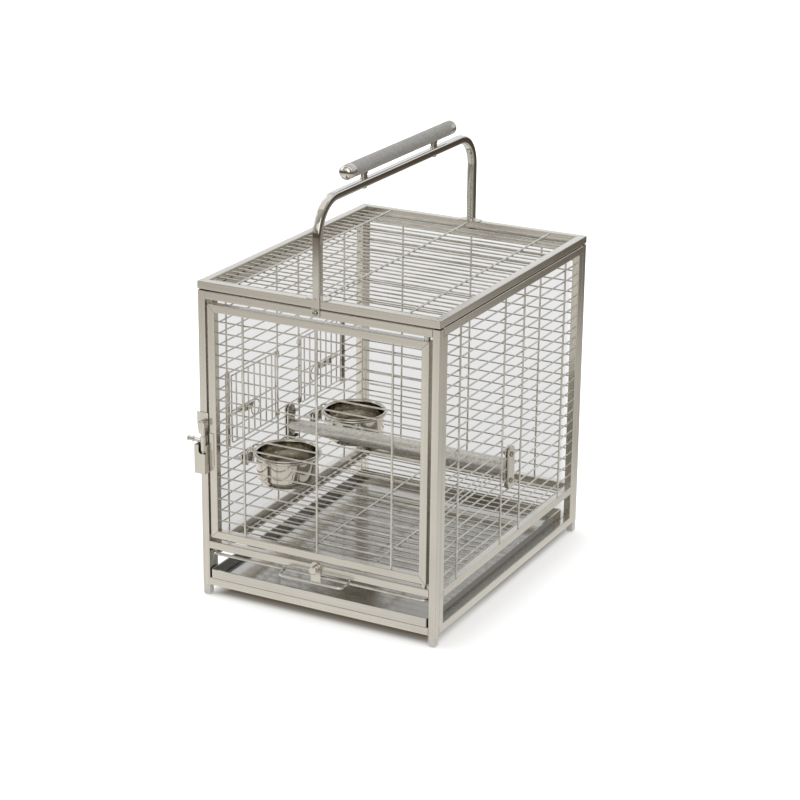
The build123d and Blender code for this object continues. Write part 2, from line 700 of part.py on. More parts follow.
perch_holes = (lower_bolt_z - perch_z, upper_bolt_z - perch_z)
bolt_hole = bolt + 2 * hole_clearance
outer_plates = []
inner_plates = []
perch_bolts = []
perch_nuts = []
perch_plate = slot_plate(perch_plate_length, perch_plate_width, perch_holes, bolt_hole)
perch_nut = wing_nut(bolt, perch_hub, perch_hub_length, perch_wing_span, perch_wing_height, perch_wing_thick)
for face, inside in ((left_face, 1), (right_face, -1)):
    inner_x0 = face + inside * inner_offset
    outer_x0 = face + inside * outer_offset
    upright = {"x_dir": (0, 0, 1), "z_dir": (inside, 0, 0)}
    inner_plates.append(Plane(origin=(inner_x0, mid_y, perch_z), **upright) * perch_plate)
    outer_start = outer_x0 - inside * clamp_plate
    outer_plates.append(Plane(origin=(outer_start, mid_y, perch_z), **upright) * perch_plate)
    for place in perch_holes:
        nut_seat = inner_x0 + inside * clamp_plate
        shank = abs(nut_seat - outer_start) + perch_hub_length + thread_end
        centre = (mid_y, perch_z + place)
        seat = (outer_start, *centre)
        perch_bolts.append(screw(seat, (inside, 0, 0), bolt, shank, bolt_head, bolt_head_height))
        nut_plane = Plane(origin=(nut_seat, *centre), **upright)
        perch_nuts.append(nut_plane * Rot(0, 0, perch_wing_turn) * perch_nut)
save("perch_inner_plates", *inner_plates)
save("perch_outer_plates", *outer_plates)
save("perch_bolts", *perch_bolts)
save("perch_nuts", *perch_nuts)
perch_start = (left_face + inner_offset + clamp_plate, mid_y, perch_z)
perch_end = (right_face - inner_offset - clamp_plate, mid_y, perch_z)
perch_taper = Cone(perch_thin / 2, perch_thick / 2, mid_x - perch_start[0], align=low)
perch_bar = Plane(origin=perch_start, z_dir=(1, 0, 0)) * perch_taper
perch_bar += rod((mid_x, mid_y, perch_z), perch_end, perch_thick)
perch_bar -= rod(perch_start, perch_end, perch_thin - 2 * perch_wall)
save("perch_bar", perch_bar)

# ---------------------------------------------------------------- bowls and their rings
bowl_x = left_face + bowl_from_side
ring_z = bowl_top - bowl_lip - rest_gap - ring_wire / 2
ring_radius = bowl_body + ring_clearance + ring_wire / 2
clamp_z = bowl_bolt_low + bowl_bolt / 2
bowl_hole = bowl_bolt + 2 * hole_clearance


def bowl(y):
    """A deep cup with a flat rim that hangs in its ring."""
    cup = Cylinder(bowl_body, bowl_depth, align=low)
    cup = fillet(cup.edges().sort_by(Axis.Z)[0], bowl_corner)
    rim = Pos(0, 0, bowl_depth - bowl_lip) * Cylinder(bowl_rim, bowl_lip, align=low)
    rim = fillet(rim.edges().filter_by(GeomType.CIRCLE), bowl_lip * 0.45)
    hollow = Pos(0, 0, bowl_wall) * Cylinder(bowl_body - bowl_wall, bowl_depth, align=low)
    hollow = fillet(hollow.edges().sort_by(Axis.Z)[0], bowl_corner - bowl_wall)
    return Pos(bowl_x, y, bowl_top - bowl_depth) * (cup + rim - hollow)


def bowl_ring(y):
    """The wire ring, its two bent arms and the plate that they are welded to inside the mesh."""
    plate_x = left_face + inner_offset
    ring = Pos(bowl_x, y, ring_z) * Torus(ring_radius, ring_wire / 2)
    low_z = clamp_z - bowl_plate_height / 2
    leg_x = plate_x + clamp_plate + ring_wire / 2 - weld_sink
    arms = []
    for offset in (-ring_arm_space / 2, ring_arm_space / 2):
        arm_end = bowl_x - sqrt(ring_radius ** 2 - offset ** 2)
        bends = [(leg_x, y + offset, low_z), (leg_x, y + offset, ring_z), (arm_end, y + offset, ring_z)]
        arm_path = FilletPolyline(*bends, radius=ring_arm_bend)
        arm_start = Plane(origin=arm_path @ 0, z_dir=arm_path % 0)
        arms.append(sweep(arm_start * Circle(ring_wire / 2), path=arm_path))
    width = (y - bowl_plate_width / 2, y + bowl_plate_width / 2)
    plate = box((plate_x, plate_x + clamp_plate), width, (low_z, low_z + bowl_plate_height))
    plate = fillet(plate.edges().filter_by(Axis.X), foot_round)
    plate -= along("X", (0, y, clamp_z), (plate_x - 1, plate_x + clamp_plate + 1), bowl_hole)
    return ring + arms + plate


bowl_clamps = []
bowl_bolts = []
wing_nuts = []
for name, y in (("front", mid_y - front_bowl_from_perch), ("rear", mid_y + rear_bowl_from_perch)):
    save(f"{name}_bowl", bowl(y))
    save(f"{name}_bowl_ring", bowl_ring(y))
    plate_x = left_face + outer_offset - clamp_plate
    width = (y - bowl_plate_width / 2, y + bowl_plate_width / 2)
    height = (clamp_z - bowl_plate_height / 2, clamp_z + bowl_plate_height / 2)
    plate = box((plate_x, plate_x + clamp_plate), width, height)
    plate = fillet(plate.edges().filter_by(Axis.X), foot_round)
    plate -= along("X", (0, y, clamp_z), (plate_x - 1, plate_x + clamp_plate + 1), bowl_hole)
    bowl_clamps.append(plate)
    head_seat = left_face + inner_offset + clamp_plate
    shank = head_seat - plate_x + wing_hub_length + thread_end
    seat = (head_seat, y, clamp_z)
    bowl_bolts.append(screw(seat, (-1, 0, 0), bowl_bolt, shank, bowl_bolt_head, bolt_head_height))
    nut = wing_nut(bowl_bolt, wing_hub, wing_hub_length, wing_span, wing_height, wing_thick)
    wing_nuts.append(Plane(origin=(plate_x, y, clamp_z), z_dir=(-1, 0, 0)) * nut)
save("bowl_clamp_plates", *bowl_clamps)
save("bowl_clamp_bolts", *bowl_bolts)
save("bowl_wing_nuts", *wing_nuts)

# ---------------------------------------------------------------- feeder doors
strips = []
for name, hinge_at, toward in (("front", side_cols[1], -1), ("rear", side_cols[2], 1)):
    hinge_edge = hinge_at + toward * feeder_edge_gap
    outer_col = side_cols[0] if toward < 0 else side_cols[3]
    strip_edge = outer_col - toward * (strip_width - col_wire / 2)
    free_edge = strip_edge - toward * feeder_wire
    near, far = sorted((hinge_edge, free_edge))
    bars = [(hinge_edge, feeder_bottom, feeder_top), (free_edge, feeder_bottom, feeder_top)]
    bar_y = hinge_at + toward * pitch
    while abs(bar_y - hinge_at) < abs(free_edge - hinge_at) - pitch / 3:
        bars.append((bar_y, feeder_bottom, feeder_top))
        bar_y += toward * pitch
    latch_z = feeder_bottom + feeder_latch_height
    rows = [feeder_bottom, latch_z - feeder_rail_below, latch_z + feeder_rail_above, feeder_top]
    leaf = grille(left_plane, [(z, near, far) for z in rows], bars, feeder_wire, feeder_wire, 1)
    wire_x = left_face + wire_inset
    hinge_wire = (wire_x, hinge_at, 0)
    knuckle_room = row_wire / 2 + rest_gap + knuckle_length / 2
    for z in (beside[-1] - knuckle_room, beside[0] + knuckle_room):
        ends = (z - knuckle_length / 2, z + knuckle_length / 2)
        sleeve = along("Z", hinge_wire, ends, knuckle)
        leaf_side = sorted((hinge_at, hinge_edge))
        web = box((wire_x - sheet / 2, wire_x + sheet / 2), leaf_side, ends)
        wire_hole = along("Z", hinge_wire, (ends[0] - 1, ends[1] + 1), col_wire + 2 * hole_clearance)
        leaf += sleeve + web - wire_hole
    save(f"{name}_feeder_door", leaf)

    bolt_x = wire_x - feeder_wire / 2 - feeder_box_depth / 2
    box_x = (bolt_x - feeder_box_depth / 2, bolt_x + feeder_box_depth / 2)
    box_start = free_edge - toward * feeder_box_from_edge
    box_y = sorted((box_start, box_start - toward * feeder_box_length))
    box_z = (latch_z - feeder_box_height / 2, latch_z + feeder_box_height / 2)
    case = box(box_x, box_y, box_z)
    case = fillet(case.edges().filter_by(Axis.Y).group_by(Axis.X)[0], feeder_box_depth * 0.3)
    tunnel = feeder_bolt + 2 * hole_clearance
    case -= along("Y", (bolt_x, 0, latch_z), (box_y[0] - 1, box_y[1] + 1), tunnel)
    save(f"{name}_feeder_latch_case", case)

    ring_side = box_start - toward * (feeder_box_length + pull_stem)
    slide = along("Y", (bolt_x, 0, latch_z), (free_edge, ring_side), feeder_bolt)
    ring_size = (pull_ring - pull_wire) / 2
    ring_y = ring_side - toward * ring_size * cos(radians(pull_hang))
    hung_z = latch_z - ring_size * sin(radians(pull_hang))
    ring_plane = Plane(origin=(bolt_x, ring_y, hung_z), z_dir=(1, 0, 0))
    save(f"{name}_feeder_bolt", slide + ring_plane * Torus(ring_size, pull_wire / 2))

    strip_y = sorted((outer_col + toward * col_wire / 2, strip_edge))
    strip_x = wire_x - col_wire / 2
    strips.append(box((strip_x - sheet, strip_x), strip_y, (border_low, border_high)))
save("feeder_door_strips", *strips)

# ---------------------------------------------------------------- handle
bar_top = lid_top + handle_height
bar_z = bar_top - tube / 2
leg_base = lid_top + bracket_thick
leg_path = FilletPolyline(
    (mid_x, post_y[0], leg_base),
    (mid_x, post_y[0], bar_z),
    (mid_x, post_y[1], bar_z),
    (mid_x, post_y[1], leg_base),
    radius=handle_bend,
)
leg_start = Plane(origin=leg_path @ 0, x_dir=(1, 0, 0), z_dir=(0, 0, 1))
handle = sweep(leg_start * RectangleRounded(tube, tube, tube_corner), path=leg_path)
inside = tube - 2 * tube_wall
handle -= sweep(leg_start * Rectangle(inside, inside), path=leg_path)
standoff_y = [mid_y + offset * standoff_space / 2 for offset in (-1, 1)]
for y in standoff_y:
    handle -= rod((mid_x, y, bar_z - tube), (mid_x, y, bar_z + tube), bolt + 2 * hole_clearance)
save("handle_tube", handle)


def bracket(face, out):
    """A base plate on the lid with a strap that hooks down over the edge to the body."""
    lip = face + out * bracket_thick
    half_base = bracket_width / 2
    half_strap = strap_width / 2
    base_y = sorted((face, face - out * bracket_depth))
    plate = box((mid_x - half_base, mid_x + half_base), base_y, (lid_top, leg_base))
    plate = fillet(plate.edges().filter_by(Axis.Z), foot_round)
    strap_z = (lid_top - strap_drop, leg_base)
    strap = box((mid_x - half_strap, mid_x + half_strap), sorted((face, lip)), strap_z)
    hole = bolt + 2 * hole_clearance
    strap -= rod((mid_x, face - out, strap_screw_z), (mid_x, lip + out, strap_screw_z), hole)
    return plate + strap


save("handle_brackets", bracket(front_face, -1), bracket(back_face, 1))
strap_length = bracket_thick + tube / 2
strap_screws = []
for y, inside in ((front_face - bracket_thick, 1), (back_face + bracket_thick, -1)):
    seat = (mid_x, y, strap_screw_z)
    strap_screws.append(screw(seat, (0, inside, 0), bolt, strap_length, strap_head, bolt_head_height))
save("strap_screws", *strap_screws)

grip_z = bar_top + grip_lift + grip_diameter / 2
grip_ends = [mid_y + offset * grip_length / 2 for offset in (-1, 1)]
grip_solid = rod((mid_x, grip_ends[0], grip_z), (mid_x, grip_ends[1], grip_z), grip_diameter)
grip_bore = grip_diameter - 2 * grip_wall
grip = grip_solid - rod((mid_x, grip_ends[0], grip_z), (mid_x, grip_ends[1], grip_z), grip_bore)
posts = []
grip_bolts = []
for y in standoff_y:
    post_line = (mid_x, y, 0)
    grip -= along("Z", post_line, (bar_top, grip_z), bolt)
    post = along("Z", post_line, (bar_top, grip_z - grip_diameter / 2 + saddle), standoff)
    post -= along("Z", post_line, (bar_top - 1, grip_z), bolt + 2 * hole_clearance)
    posts.append(post - grip_solid)
    seat = (mid_x, y, bar_z - tube / 2)
    length = tube + grip_lift + grip_wall
    grip_bolts.append(screw(seat, (0, 0, 1), bolt, length, strap_head, bolt_head_height))
save("grip_tube", grip)
save("grip_standoffs", *posts)
save("grip_bolts", *grip_bolts)

cap_length = grip_cap_rim + grip_cap_dome
dome_radius = (grip_diameter ** 2 / 4 + grip_cap_dome ** 2) / (2 * grip_cap_dome)
caps = []
for y, out in zip(grip_ends, (-1, 1)):
    dome = Pos(0, 0, cap_length - dome_radius) * Sphere(dome_radius)
    cap = Cylinder(grip_diameter / 2, cap_length, align=low) & dome
    cap += Pos(0, 0, -grip_plug) * Cylinder(grip_bore / 2 - nut_clearance, grip_plug, align=low)
    caps.append(Plane(origin=(mid_x, y, grip_z), z_dir=(0, out, 0)) * cap)
save("grip_end_caps", *caps)
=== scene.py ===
# %% [markdown]
# # A bird travel carrier in stainless steel
#
# The object is a small cage for carrying a parrot: a box of square tube with welded wire panels, a
# hinged front door with a slide latch, a pull-out grate and tray, two feeder doors with steel bowls,
# a perch across the middle, and a polished tube handle with a round grip.
#
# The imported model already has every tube, wire and hinge at its true size. So this lesson starts from
# that frame and never moves it. Blender adds what a drawing can't show: how each steel is finished,
# rolled rims, a knurled grip, and sockets in the screws.

# %% Load the frame
import json
from math import atan2, cos, pi, radians, sin

import bmesh
import bpy
from mathutils import Matrix, Vector


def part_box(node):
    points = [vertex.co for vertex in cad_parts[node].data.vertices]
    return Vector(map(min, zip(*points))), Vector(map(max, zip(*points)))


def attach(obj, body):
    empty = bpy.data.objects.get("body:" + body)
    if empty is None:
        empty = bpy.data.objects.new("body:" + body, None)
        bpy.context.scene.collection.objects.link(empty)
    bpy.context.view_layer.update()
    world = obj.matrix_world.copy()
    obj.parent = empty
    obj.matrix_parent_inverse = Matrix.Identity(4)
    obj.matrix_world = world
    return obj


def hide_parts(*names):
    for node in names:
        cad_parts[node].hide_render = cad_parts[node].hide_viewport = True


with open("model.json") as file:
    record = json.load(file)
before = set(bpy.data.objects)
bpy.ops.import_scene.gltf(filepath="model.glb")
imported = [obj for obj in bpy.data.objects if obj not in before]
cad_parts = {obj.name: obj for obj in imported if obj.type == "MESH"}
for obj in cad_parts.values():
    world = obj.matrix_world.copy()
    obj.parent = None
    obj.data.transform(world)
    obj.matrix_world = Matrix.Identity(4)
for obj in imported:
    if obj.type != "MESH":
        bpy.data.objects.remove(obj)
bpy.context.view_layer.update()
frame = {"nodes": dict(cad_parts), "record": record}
nodes = frame["nodes"]
MM = 0.001

# %% [markdown]
# ## The camera
#
# A product shot of a box is taken from far away with a long lens, so that the uprights stay nearly
# parallel. The camera could be aimed with a Track To constraint, but a constraint hides the roll of
# the camera. Here its three axes are worked out as vectors and put into one matrix: forwards, then
# right and up, both turned by a little roll.

# %% Place the camera
camera_spot = Vector((1.408925, -2.66875, 1.3222))
forwards = Vector((-0.43569, 0.83495, -0.33620)).normalized()
level_right = forwards.cross(Vector((0, 0, 1))).normalized()
level_up = level_right.cross(forwards)
roll = radians(0.608)
camera_right = cos(roll) * level_right + sin(roll) * level_up
camera_up = cos(roll) * level_up - sin(roll) * level_right

lens = bpy.data.cameras.new("long_lens")
lens.lens = 103.76
lens.sensor_width = 36.0
lens.clip_end = 60.0
camera = bpy.data.objects.new("camera", lens)
turn = Matrix((camera_right, camera_up, -forwards)).transposed()
camera.matrix_world = Matrix.Translation(camera_spot) @ turn.to_4x4()
bpy.context.scene.collection.objects.link(camera)
bpy.context.scene.camera = camera
print("camera at", [round(v, 3) for v in camera_spot], "lens", lens.lens, "mm")

# %% [markdown]
# ## Nodes by hand
#
# The sky, the floor and every finish below are made of the same few shader nodes. They could be
# joined one link at a time, but a long list of links hides what a material does. These helpers add
# a node, feed its sockets with a number or with another node's output, and hand back the result.

# %% Add and feed nodes


def feed(tree, socket, value):
    """Gives a socket a fixed value, or links it to another node's output."""
    if isinstance(value, bpy.types.NodeSocket):
        tree.links.new(value, socket)
    else:
        socket.default_value = value


def put(tree, kind, **settings):
    """Adds a node and sets its properties and its sockets by name."""
    node = tree.nodes.new(kind)
    for key, value in settings.items():
        if hasattr(node, key):
            setattr(node, key, value)
        else:
            feed(tree, node.inputs[key.replace("_", " ")], value)
    return node


def sum_of(tree, kind, *values):
    """A Math node on sockets or numbers, and its result."""
    node = put(tree, "ShaderNodeMath", operation=kind)
    for socket, value in zip(node.inputs, values):
        feed(tree, socket, value)
    return node.outputs[0]


def measure(tree, kind, vector, other):
    """The DISTANCE or DOT_PRODUCT of a vector and a fixed one."""
    node = put(tree, "ShaderNodeVectorMath", operation=kind, Vector=vector)
    node.inputs[1].default_value = other
    return node.outputs["Value"]


def split(tree, vector):
    """The three parts of a vector, to pick by letter or by number."""
    return put(tree, "ShaderNodeSeparateXYZ", Vector=vector).outputs


print("nodes can be added and fed")

# %% [markdown]
# Most of what a finish needs is one value turned into another: into a colour (a ramp), into a range
# (a fade), or used to choose between two (a blend). Each of them is one node.

# %% Ramps, fades and blends


def ramp(tree, source, stops):
    """A colour ramp with the given (place, colour) stops, and its colour."""
    node = put(tree, "ShaderNodeValToRGB", Fac=source)
    bar = node.color_ramp
    while len(bar.elements) < len(stops):
        bar.elements.new(0.5)
    for mark, (place, colour) in zip(bar.elements, stops):
        mark.position = place
        mark.color = (*colour, 1.0)
    return node.outputs["Color"]


def fade(tree, source, start, stop, low=0.0, high=1.0):
    """A value that runs from low to high while source runs from start to stop, and stops there."""
    node = put(tree, "ShaderNodeMapRange", Value=source)
    for place, value in zip(("From Min", "From Max", "To Min", "To Max"), (start, stop, low, high)):
        node.inputs[place].default_value = value
    return node.outputs["Result"]


def blend(tree, factor, first, second, kind="FLOAT"):
    """first where factor is 0, second where it is 1, for numbers or for colours."""
    node = put(tree, "ShaderNodeMix", data_type=kind, Factor=factor)
    place, result = {"FLOAT": (2, 0), "RGBA": (6, 2)}[kind]
    feed(tree, node.inputs[place], first)
    feed(tree, node.inputs[place + 1], second)
    return node.outputs[result]


print("values can be ramped, faded and blended")

# %% [markdown]
# ## The sky
#
# Bare steel has almost no colour of its own: it shows the room. In an all-white room it looks like
# white plastic, so the room needs a darker side. Steel sees a soft pale sweep on one side, a dark
# warm room toward the camera, and four brighter patches, which are its windows and lamps. An HDR
# picture of a studio would do too, but a ramp over the height is easier to tune.
#
# Everything that isn't a reflection is lit by an even white, so the shadows stay soft.

# %% Build the sky dome
scene = bpy.context.scene
scene.view_settings.view_transform = "Standard"
sky = bpy.data.worlds.new("studio_sky")
scene.world = sky
sky.use_nodes = True
sky_tree = sky.node_tree
sky_tree.nodes.clear()

direction = put(sky_tree, "ShaderNodeTexCoord").outputs["Generated"]
height = sum_of(sky_tree, "MULTIPLY_ADD", split(sky_tree, direction)["Z"], 0.5, 0.5)
sweep = ramp(sky_tree, height, [
    (0.50, (0.91, 0.905, 0.90)),
    (0.60, (1.00, 1.01, 1.03)),
    (0.68, (1.10, 1.14, 1.19)),
    (0.80, (0.74, 0.73, 0.72)),
    (1.00, (0.60, 0.57, 0.52)),
])
dark_room = ramp(sky_tree, height, [
    (0.50, (0.32, 0.28, 0.23)),
    (0.60, (0.22, 0.19, 0.155)),
    (0.74, (0.26, 0.23, 0.19)),
    (0.86, (0.40, 0.37, 0.33)),
    (1.00, (0.60, 0.57, 0.52)),
])
print("sky has a pale sweep and a dark room")

# %% [markdown]
# A patch is round: it covers the directions that lie close enough to its own. The cosine between
# two directions says how close they are, so a ramp between two cosines gives it a soft edge. The
# dark room is such a patch too, a very wide one.

# %% Add the dark side and the bright patches


def around(toward, start, stop):
    """0 to 1 where a direction of the sky turns toward another, between two cosines."""
    closeness = measure(sky_tree, "DOT_PRODUCT", direction, Vector(toward).normalized())
    return ramp(sky_tree, closeness, [(start, (0, 0, 0)), (stop, (1, 1, 1))])


room = blend(sky_tree, around((0.66, -0.75, 0.0), 0.0, 0.35), sweep, dark_room, "RGBA")
patches = [
    ((0.24, -0.90, 0.36), 0.90, 0.94, (1.9, 1.84, 1.72, 1.0)),
    ((-0.75, 0.35, 0.62), 0.955, 0.975, (1.35, 1.36, 1.38, 1.0)),
    ((-0.30, -0.92, 0.30), 0.975, 0.985, (1.15, 1.12, 1.08, 1.0)),
    ((0.25, 0.30, 0.92), 0.975, 0.985, (1.3, 1.29, 1.26, 1.0)),
]
for toward, edge, inner, colour in patches:
    room = blend(sky_tree, around(toward, edge, inner), room, colour, "RGBA")
even_white = (1.15, 1.15, 1.16, 1.0)
bounce = put(sky_tree, "ShaderNodeLightPath").outputs["Is Glossy Ray"]
seen = blend(sky_tree, bounce, even_white, room, "RGBA")
glow = put(sky_tree, "ShaderNodeBackground", Strength=1.0, Color=seen)
put(sky_tree, "ShaderNodeOutputWorld", Surface=glow.outputs[0])
print("sky dome made, with", len(patches), "bright patches")

# %% [markdown]
# ## The floor
#
# The floor is a sheet of white paper, far larger than the object. It has two faces. Steel that
# mirrors the floor sees a plain glow that falls off with distance, as lit paper does when it runs
# out of the light. A glow has no grain, which keeps thin wires clean. Everything else sees the paper
# itself, lit by the sky and the lamps. A Light Path node tells the two kinds of ray apart.

# %% Lay the floor
floor_half = 14.0
floor_shape = bmesh.new()
bmesh.ops.create_grid(floor_shape, x_segments=1, y_segments=1, size=floor_half)
floor_mesh = bpy.data.meshes.new("floor")
floor_shape.to_mesh(floor_mesh)
floor_shape.free()
floor = bpy.data.objects.new("floor", floor_mesh)
scene.collection.objects.link(floor)

card = bpy.data.materials.new("white_card")
card.use_nodes = True
card_tree = card.node_tree
card_tree.nodes.clear()
floor_mesh.materials.append(card)
spot = put(card_tree, "ShaderNodeTexCoord").outputs["Object"]
floor_parts = split(card_tree, spot)
floor_x, floor_y = floor_parts["X"], floor_parts["Y"]
print("floor laid,", 2 * floor_half, "m wide")

# %% [markdown]
# The glow is brightest in a pool round the object and falls off over a few metres. It could be a
# real lamp's falloff, but then the steel would mirror noise. A ramp over the distance is exact. Its
# stops are shares of one length, so the whole pool grows or shrinks with that length.

# %% Let steel see a glow
pool_centre = (0.0, -0.45, 0.0)
pool_length = 5.0
spread = measure(card_tree, "DISTANCE", spot, pool_centre)
falloff = ramp(card_tree, sum_of(card_tree, "DIVIDE", spread, pool_length), [
    (0.00, (0.95, 0.93, 0.89)),
    (0.12, (1.08, 1.06, 1.01)),
    (0.18, (1.00, 0.98, 0.93)),
    (0.22, (0.80, 0.775, 0.72)),
    (0.29, (0.84, 0.81, 0.75)),
    (0.33, (0.70, 0.665, 0.61)),
    (0.37, (0.46, 0.425, 0.375)),
    (0.42, (0.26, 0.225, 0.185)),
    (0.48, (0.175, 0.145, 0.115)),
    (0.60, (0.13, 0.105, 0.082)),
])
# painted reflection: the glow that steel sees is dimmed to 0.78 to the right of the carrier
glow_dimmer_right = fade(card_tree, floor_x, 0.10, 0.28, 1.0, 0.78)
sheen = put(card_tree, "ShaderNodeEmission", Color=falloff, Strength=glow_dimmer_right)
print("glow stops are shares of", pool_length, "m")

# %% [markdown]
# The carrier's shade is painted on the floor behind it: a light grey area, the grey card, shaped like
# the carrier's shadow cast from the camera. Light wires on white paper would vanish; against this
# painted shade the wires stand against grey, and the object as a whole against white. The card could
# be a piece of its own, but a tone in the paper casts no shadow. Each side of it is a fade over the
# floor, and the fades multiplied together make the card. Two of its sides follow straight lines from
# the camera past an upright tube.

# %% Paint the grey card, a painted shade behind the carrier
lid_low, lid_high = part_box("lid_frame")
post_middle, lid_tube_middle = 9 * MM, 7 * MM
edge_blur = 16 * MM


def beyond(corner_x, corner_y, side):
    """0 to 1 across the straight line on the floor that runs from the camera past an upright tube."""
    line = Vector((corner_x - camera_spot.x, corner_y - camera_spot.y)).normalized()
    across = Vector((-line.y, line.x)) * side
    start = across.dot(camera_spot.to_2d())
    offset = measure(card_tree, "DOT_PRODUCT", spot, (*across, 0.0))
    return fade(card_tree, offset, start - edge_blur, start + edge_blur)


reach = camera_spot.z / (camera_spot.z - lid_high.z)
back_edge = camera_spot.y + (lid_high.y - lid_tube_middle - camera_spot.y) * reach
left_edge = camera_spot.x + (lid_low.x + lid_tube_middle - camera_spot.x) * reach
# the sides of the painted shade behind the carrier; the far edges fade softly, as a shadow's edge does
behind_shade_sides = [
    beyond(lid_low.x + post_middle, lid_low.y + post_middle, -1),
    beyond(lid_high.x - post_middle, lid_high.y - post_middle, 1),
    fade(card_tree, floor_y, back_edge + 0.01, back_edge - 0.15),
    fade(card_tree, floor_x, left_edge - 0.01, left_edge + 0.05),
    fade(card_tree, floor_y, lid_low.y + 0.10, lid_low.y + 0.20),
    fade(card_tree, floor_x, lid_high.x - 0.005, lid_high.x - 0.025),
]
grey = behind_shade_sides[0]
for side in behind_shade_sides[1:]:
    grey = sum_of(card_tree, "MULTIPLY", grey, side)
# the painted shade is a little lighter further back
behind_shade_level = fade(card_tree, floor_y, 0.2, 1.5, 0.515, 0.56)
behind_shade_tone = blend(card_tree, grey, 1.0, behind_shade_level)
print("grey card ends at y =", round(back_edge, 3), "and x =", round(left_edge, 3))

# %% [markdown]
# The carrier stands low, so hardly any light gets under its rails and tray. A soft sky alone leaves
# that strip too light. Its tone is painted here: dark below the carrier, and a fade outside each
# edge. The fade in front is drawn as a ramp, because that is the edge that shows most. The last ramp
# turns the tone into the colour of the paper, a little warmer in the shade.

# %% Shade the paper under the carrier
under_front = ramp(card_tree, fade(card_tree, floor_y, lid_low.y - 0.04, lid_low.y + 0.03), [
    (0.00, (1.0, 1.0, 1.0)),
    (0.40, (0.92, 0.92, 0.92)),
    (0.55, (0.84, 0.84, 0.84)),
    (0.63, (0.76, 0.76, 0.755)),
    (0.71, (0.56, 0.56, 0.55)),
    (0.79, (0.31, 0.305, 0.285)),
    (0.86, (0.24, 0.23, 0.21)),
    (0.95, (0.16, 0.15, 0.135)),
])
deep_shade, faint_shade = 0.10, 0.78
under_right = sum_of(
    card_tree, "MULTIPLY",
    fade(card_tree, floor_x, lid_high.x - 0.030, lid_high.x - 0.004, deep_shade, 1.0),
    fade(card_tree, floor_x, lid_high.x - 0.004, lid_high.x + 0.11, faint_shade, 1.0),
)
under_left = fade(card_tree, floor_x, lid_low.x + 0.030, lid_low.x - 0.004, deep_shade, 1.0)
under_back = fade(card_tree, floor_y, lid_high.y - 0.030, lid_high.y + 0.02, deep_shade, 1.0)
shade_tone = under_front
for shade in (under_right, under_left, under_back):
    shade_tone = sum_of(card_tree, "MAXIMUM", shade_tone, shade)
paper_colour = ramp(card_tree, sum_of(card_tree, "MULTIPLY", behind_shade_tone, shade_tone), [
    (0.00, (0.00, 0.00, 0.00)),
    (0.15, (0.145, 0.125, 0.102)),
    (0.31, (0.290, 0.272, 0.242)),
    (0.50, (0.450, 0.450, 0.447)),
    (1.00, (0.900, 0.900, 0.895)),
])
print("shade painted, darkest tone", deep_shade)

# %% [markdown]
# In a product shot a white background is exposed a little too bright, so that it comes out pure
# white while the object keeps its tones. The paper does the same with a faint light of its own.

# %% Join the two faces of the paper
overexposed = 0.40
paper = put(card_tree, "ShaderNodeBsdfDiffuse", Color=paper_colour)
lift = put(card_tree, "ShaderNodeEmission", Color=paper_colour, Strength=overexposed)
lit_paper = put(card_tree, "ShaderNodeAddShader")
feed(card_tree, lit_paper.inputs[0], paper.outputs[0])
feed(card_tree, lit_paper.inputs[1], lift.outputs[0])
ray = put(card_tree, "ShaderNodeLightPath").outputs["Is Glossy Ray"]
choice = put(card_tree, "ShaderNodeMixShader", Fac=ray)
feed(card_tree, choice.inputs[1], lit_paper.outputs[0])
feed(card_tree, choice.inputs[2], sheen.outputs[0])
put(card_tree, "ShaderNodeOutputMaterial", Surface=choice.outputs[0])
print("paper has", len(card_tree.nodes), "nodes")

# %% [markdown]
# ## The lights
#
# Two large softboxes add a little shape to the even light of the sky: one overhead, one to the left
# of the camera. Being large and weak, they leave no hard highlight and no hard shadow.

# %% Hang the lights


def softbox(name, hang, aim, width, tall, power):
    """A rectangular light that hangs at one place and faces another."""
    lamp = bpy.data.lights.new(name, "AREA")
    lamp.shape = "RECTANGLE"
    lamp.size = width
    lamp.size_y = tall
    lamp.energy = power
    holder = bpy.data.objects.new(name, lamp)
    look = (Vector(aim) - Vector(hang)).to_track_quat("-Z", "Y")
    holder.matrix_world = Matrix.Translation(hang) @ look.to_matrix().to_4x4()
    holder.visible_camera = False
    scene.collection.objects.link(holder)


softbox("top_box", hang=(-0.8, 0.3, 3.2), aim=(0.0, 0.1, 0.3), width=3.0, tall=3.0, power=12)
softbox("left_box", hang=(-2.6, -1.4, 1.9), aim=(0.0, 0.0, 0.3), width=1.4, tall=2.0, power=7)

# %% [markdown]
# ## Finishes
#
# Every finish below is made the same way: a new material with its own shader, one or two noise
# textures, and then a tone for the colour, a roughness and a shallow bump. Noise on Object
# coordinates has the same grain on every piece and needs no unwrapping, which an image would.

# %% Start and dress a finish


def new_finish(name, colour, roughness, metallic=1.0):
    """A new material: itself, its tree, its shader and its Object coordinates."""
    finish = bpy.data.materials.new(name)
    finish.use_nodes = True
    tree = finish.node_tree
    shader = tree.nodes["Principled BSDF"]
    shader.inputs["Metallic"].default_value = metallic
    shader.inputs["Base Color"].default_value = (*colour, 1.0)
    shader.inputs["Roughness"].default_value = roughness
    return finish, tree, shader, put(tree, "ShaderNodeTexCoord").outputs["Object"]


def noise(tree, place, scale, detail, roughness=0.5, distortion=0.0):
    """A noise texture with a scale per metre. Returns its grey value."""
    node = put(tree, "ShaderNodeTexNoise", Vector=place, Scale=scale, Detail=detail)
    node.inputs["Roughness"].default_value = roughness
    node.inputs["Distortion"].default_value = distortion
    return node.outputs["Fac"]


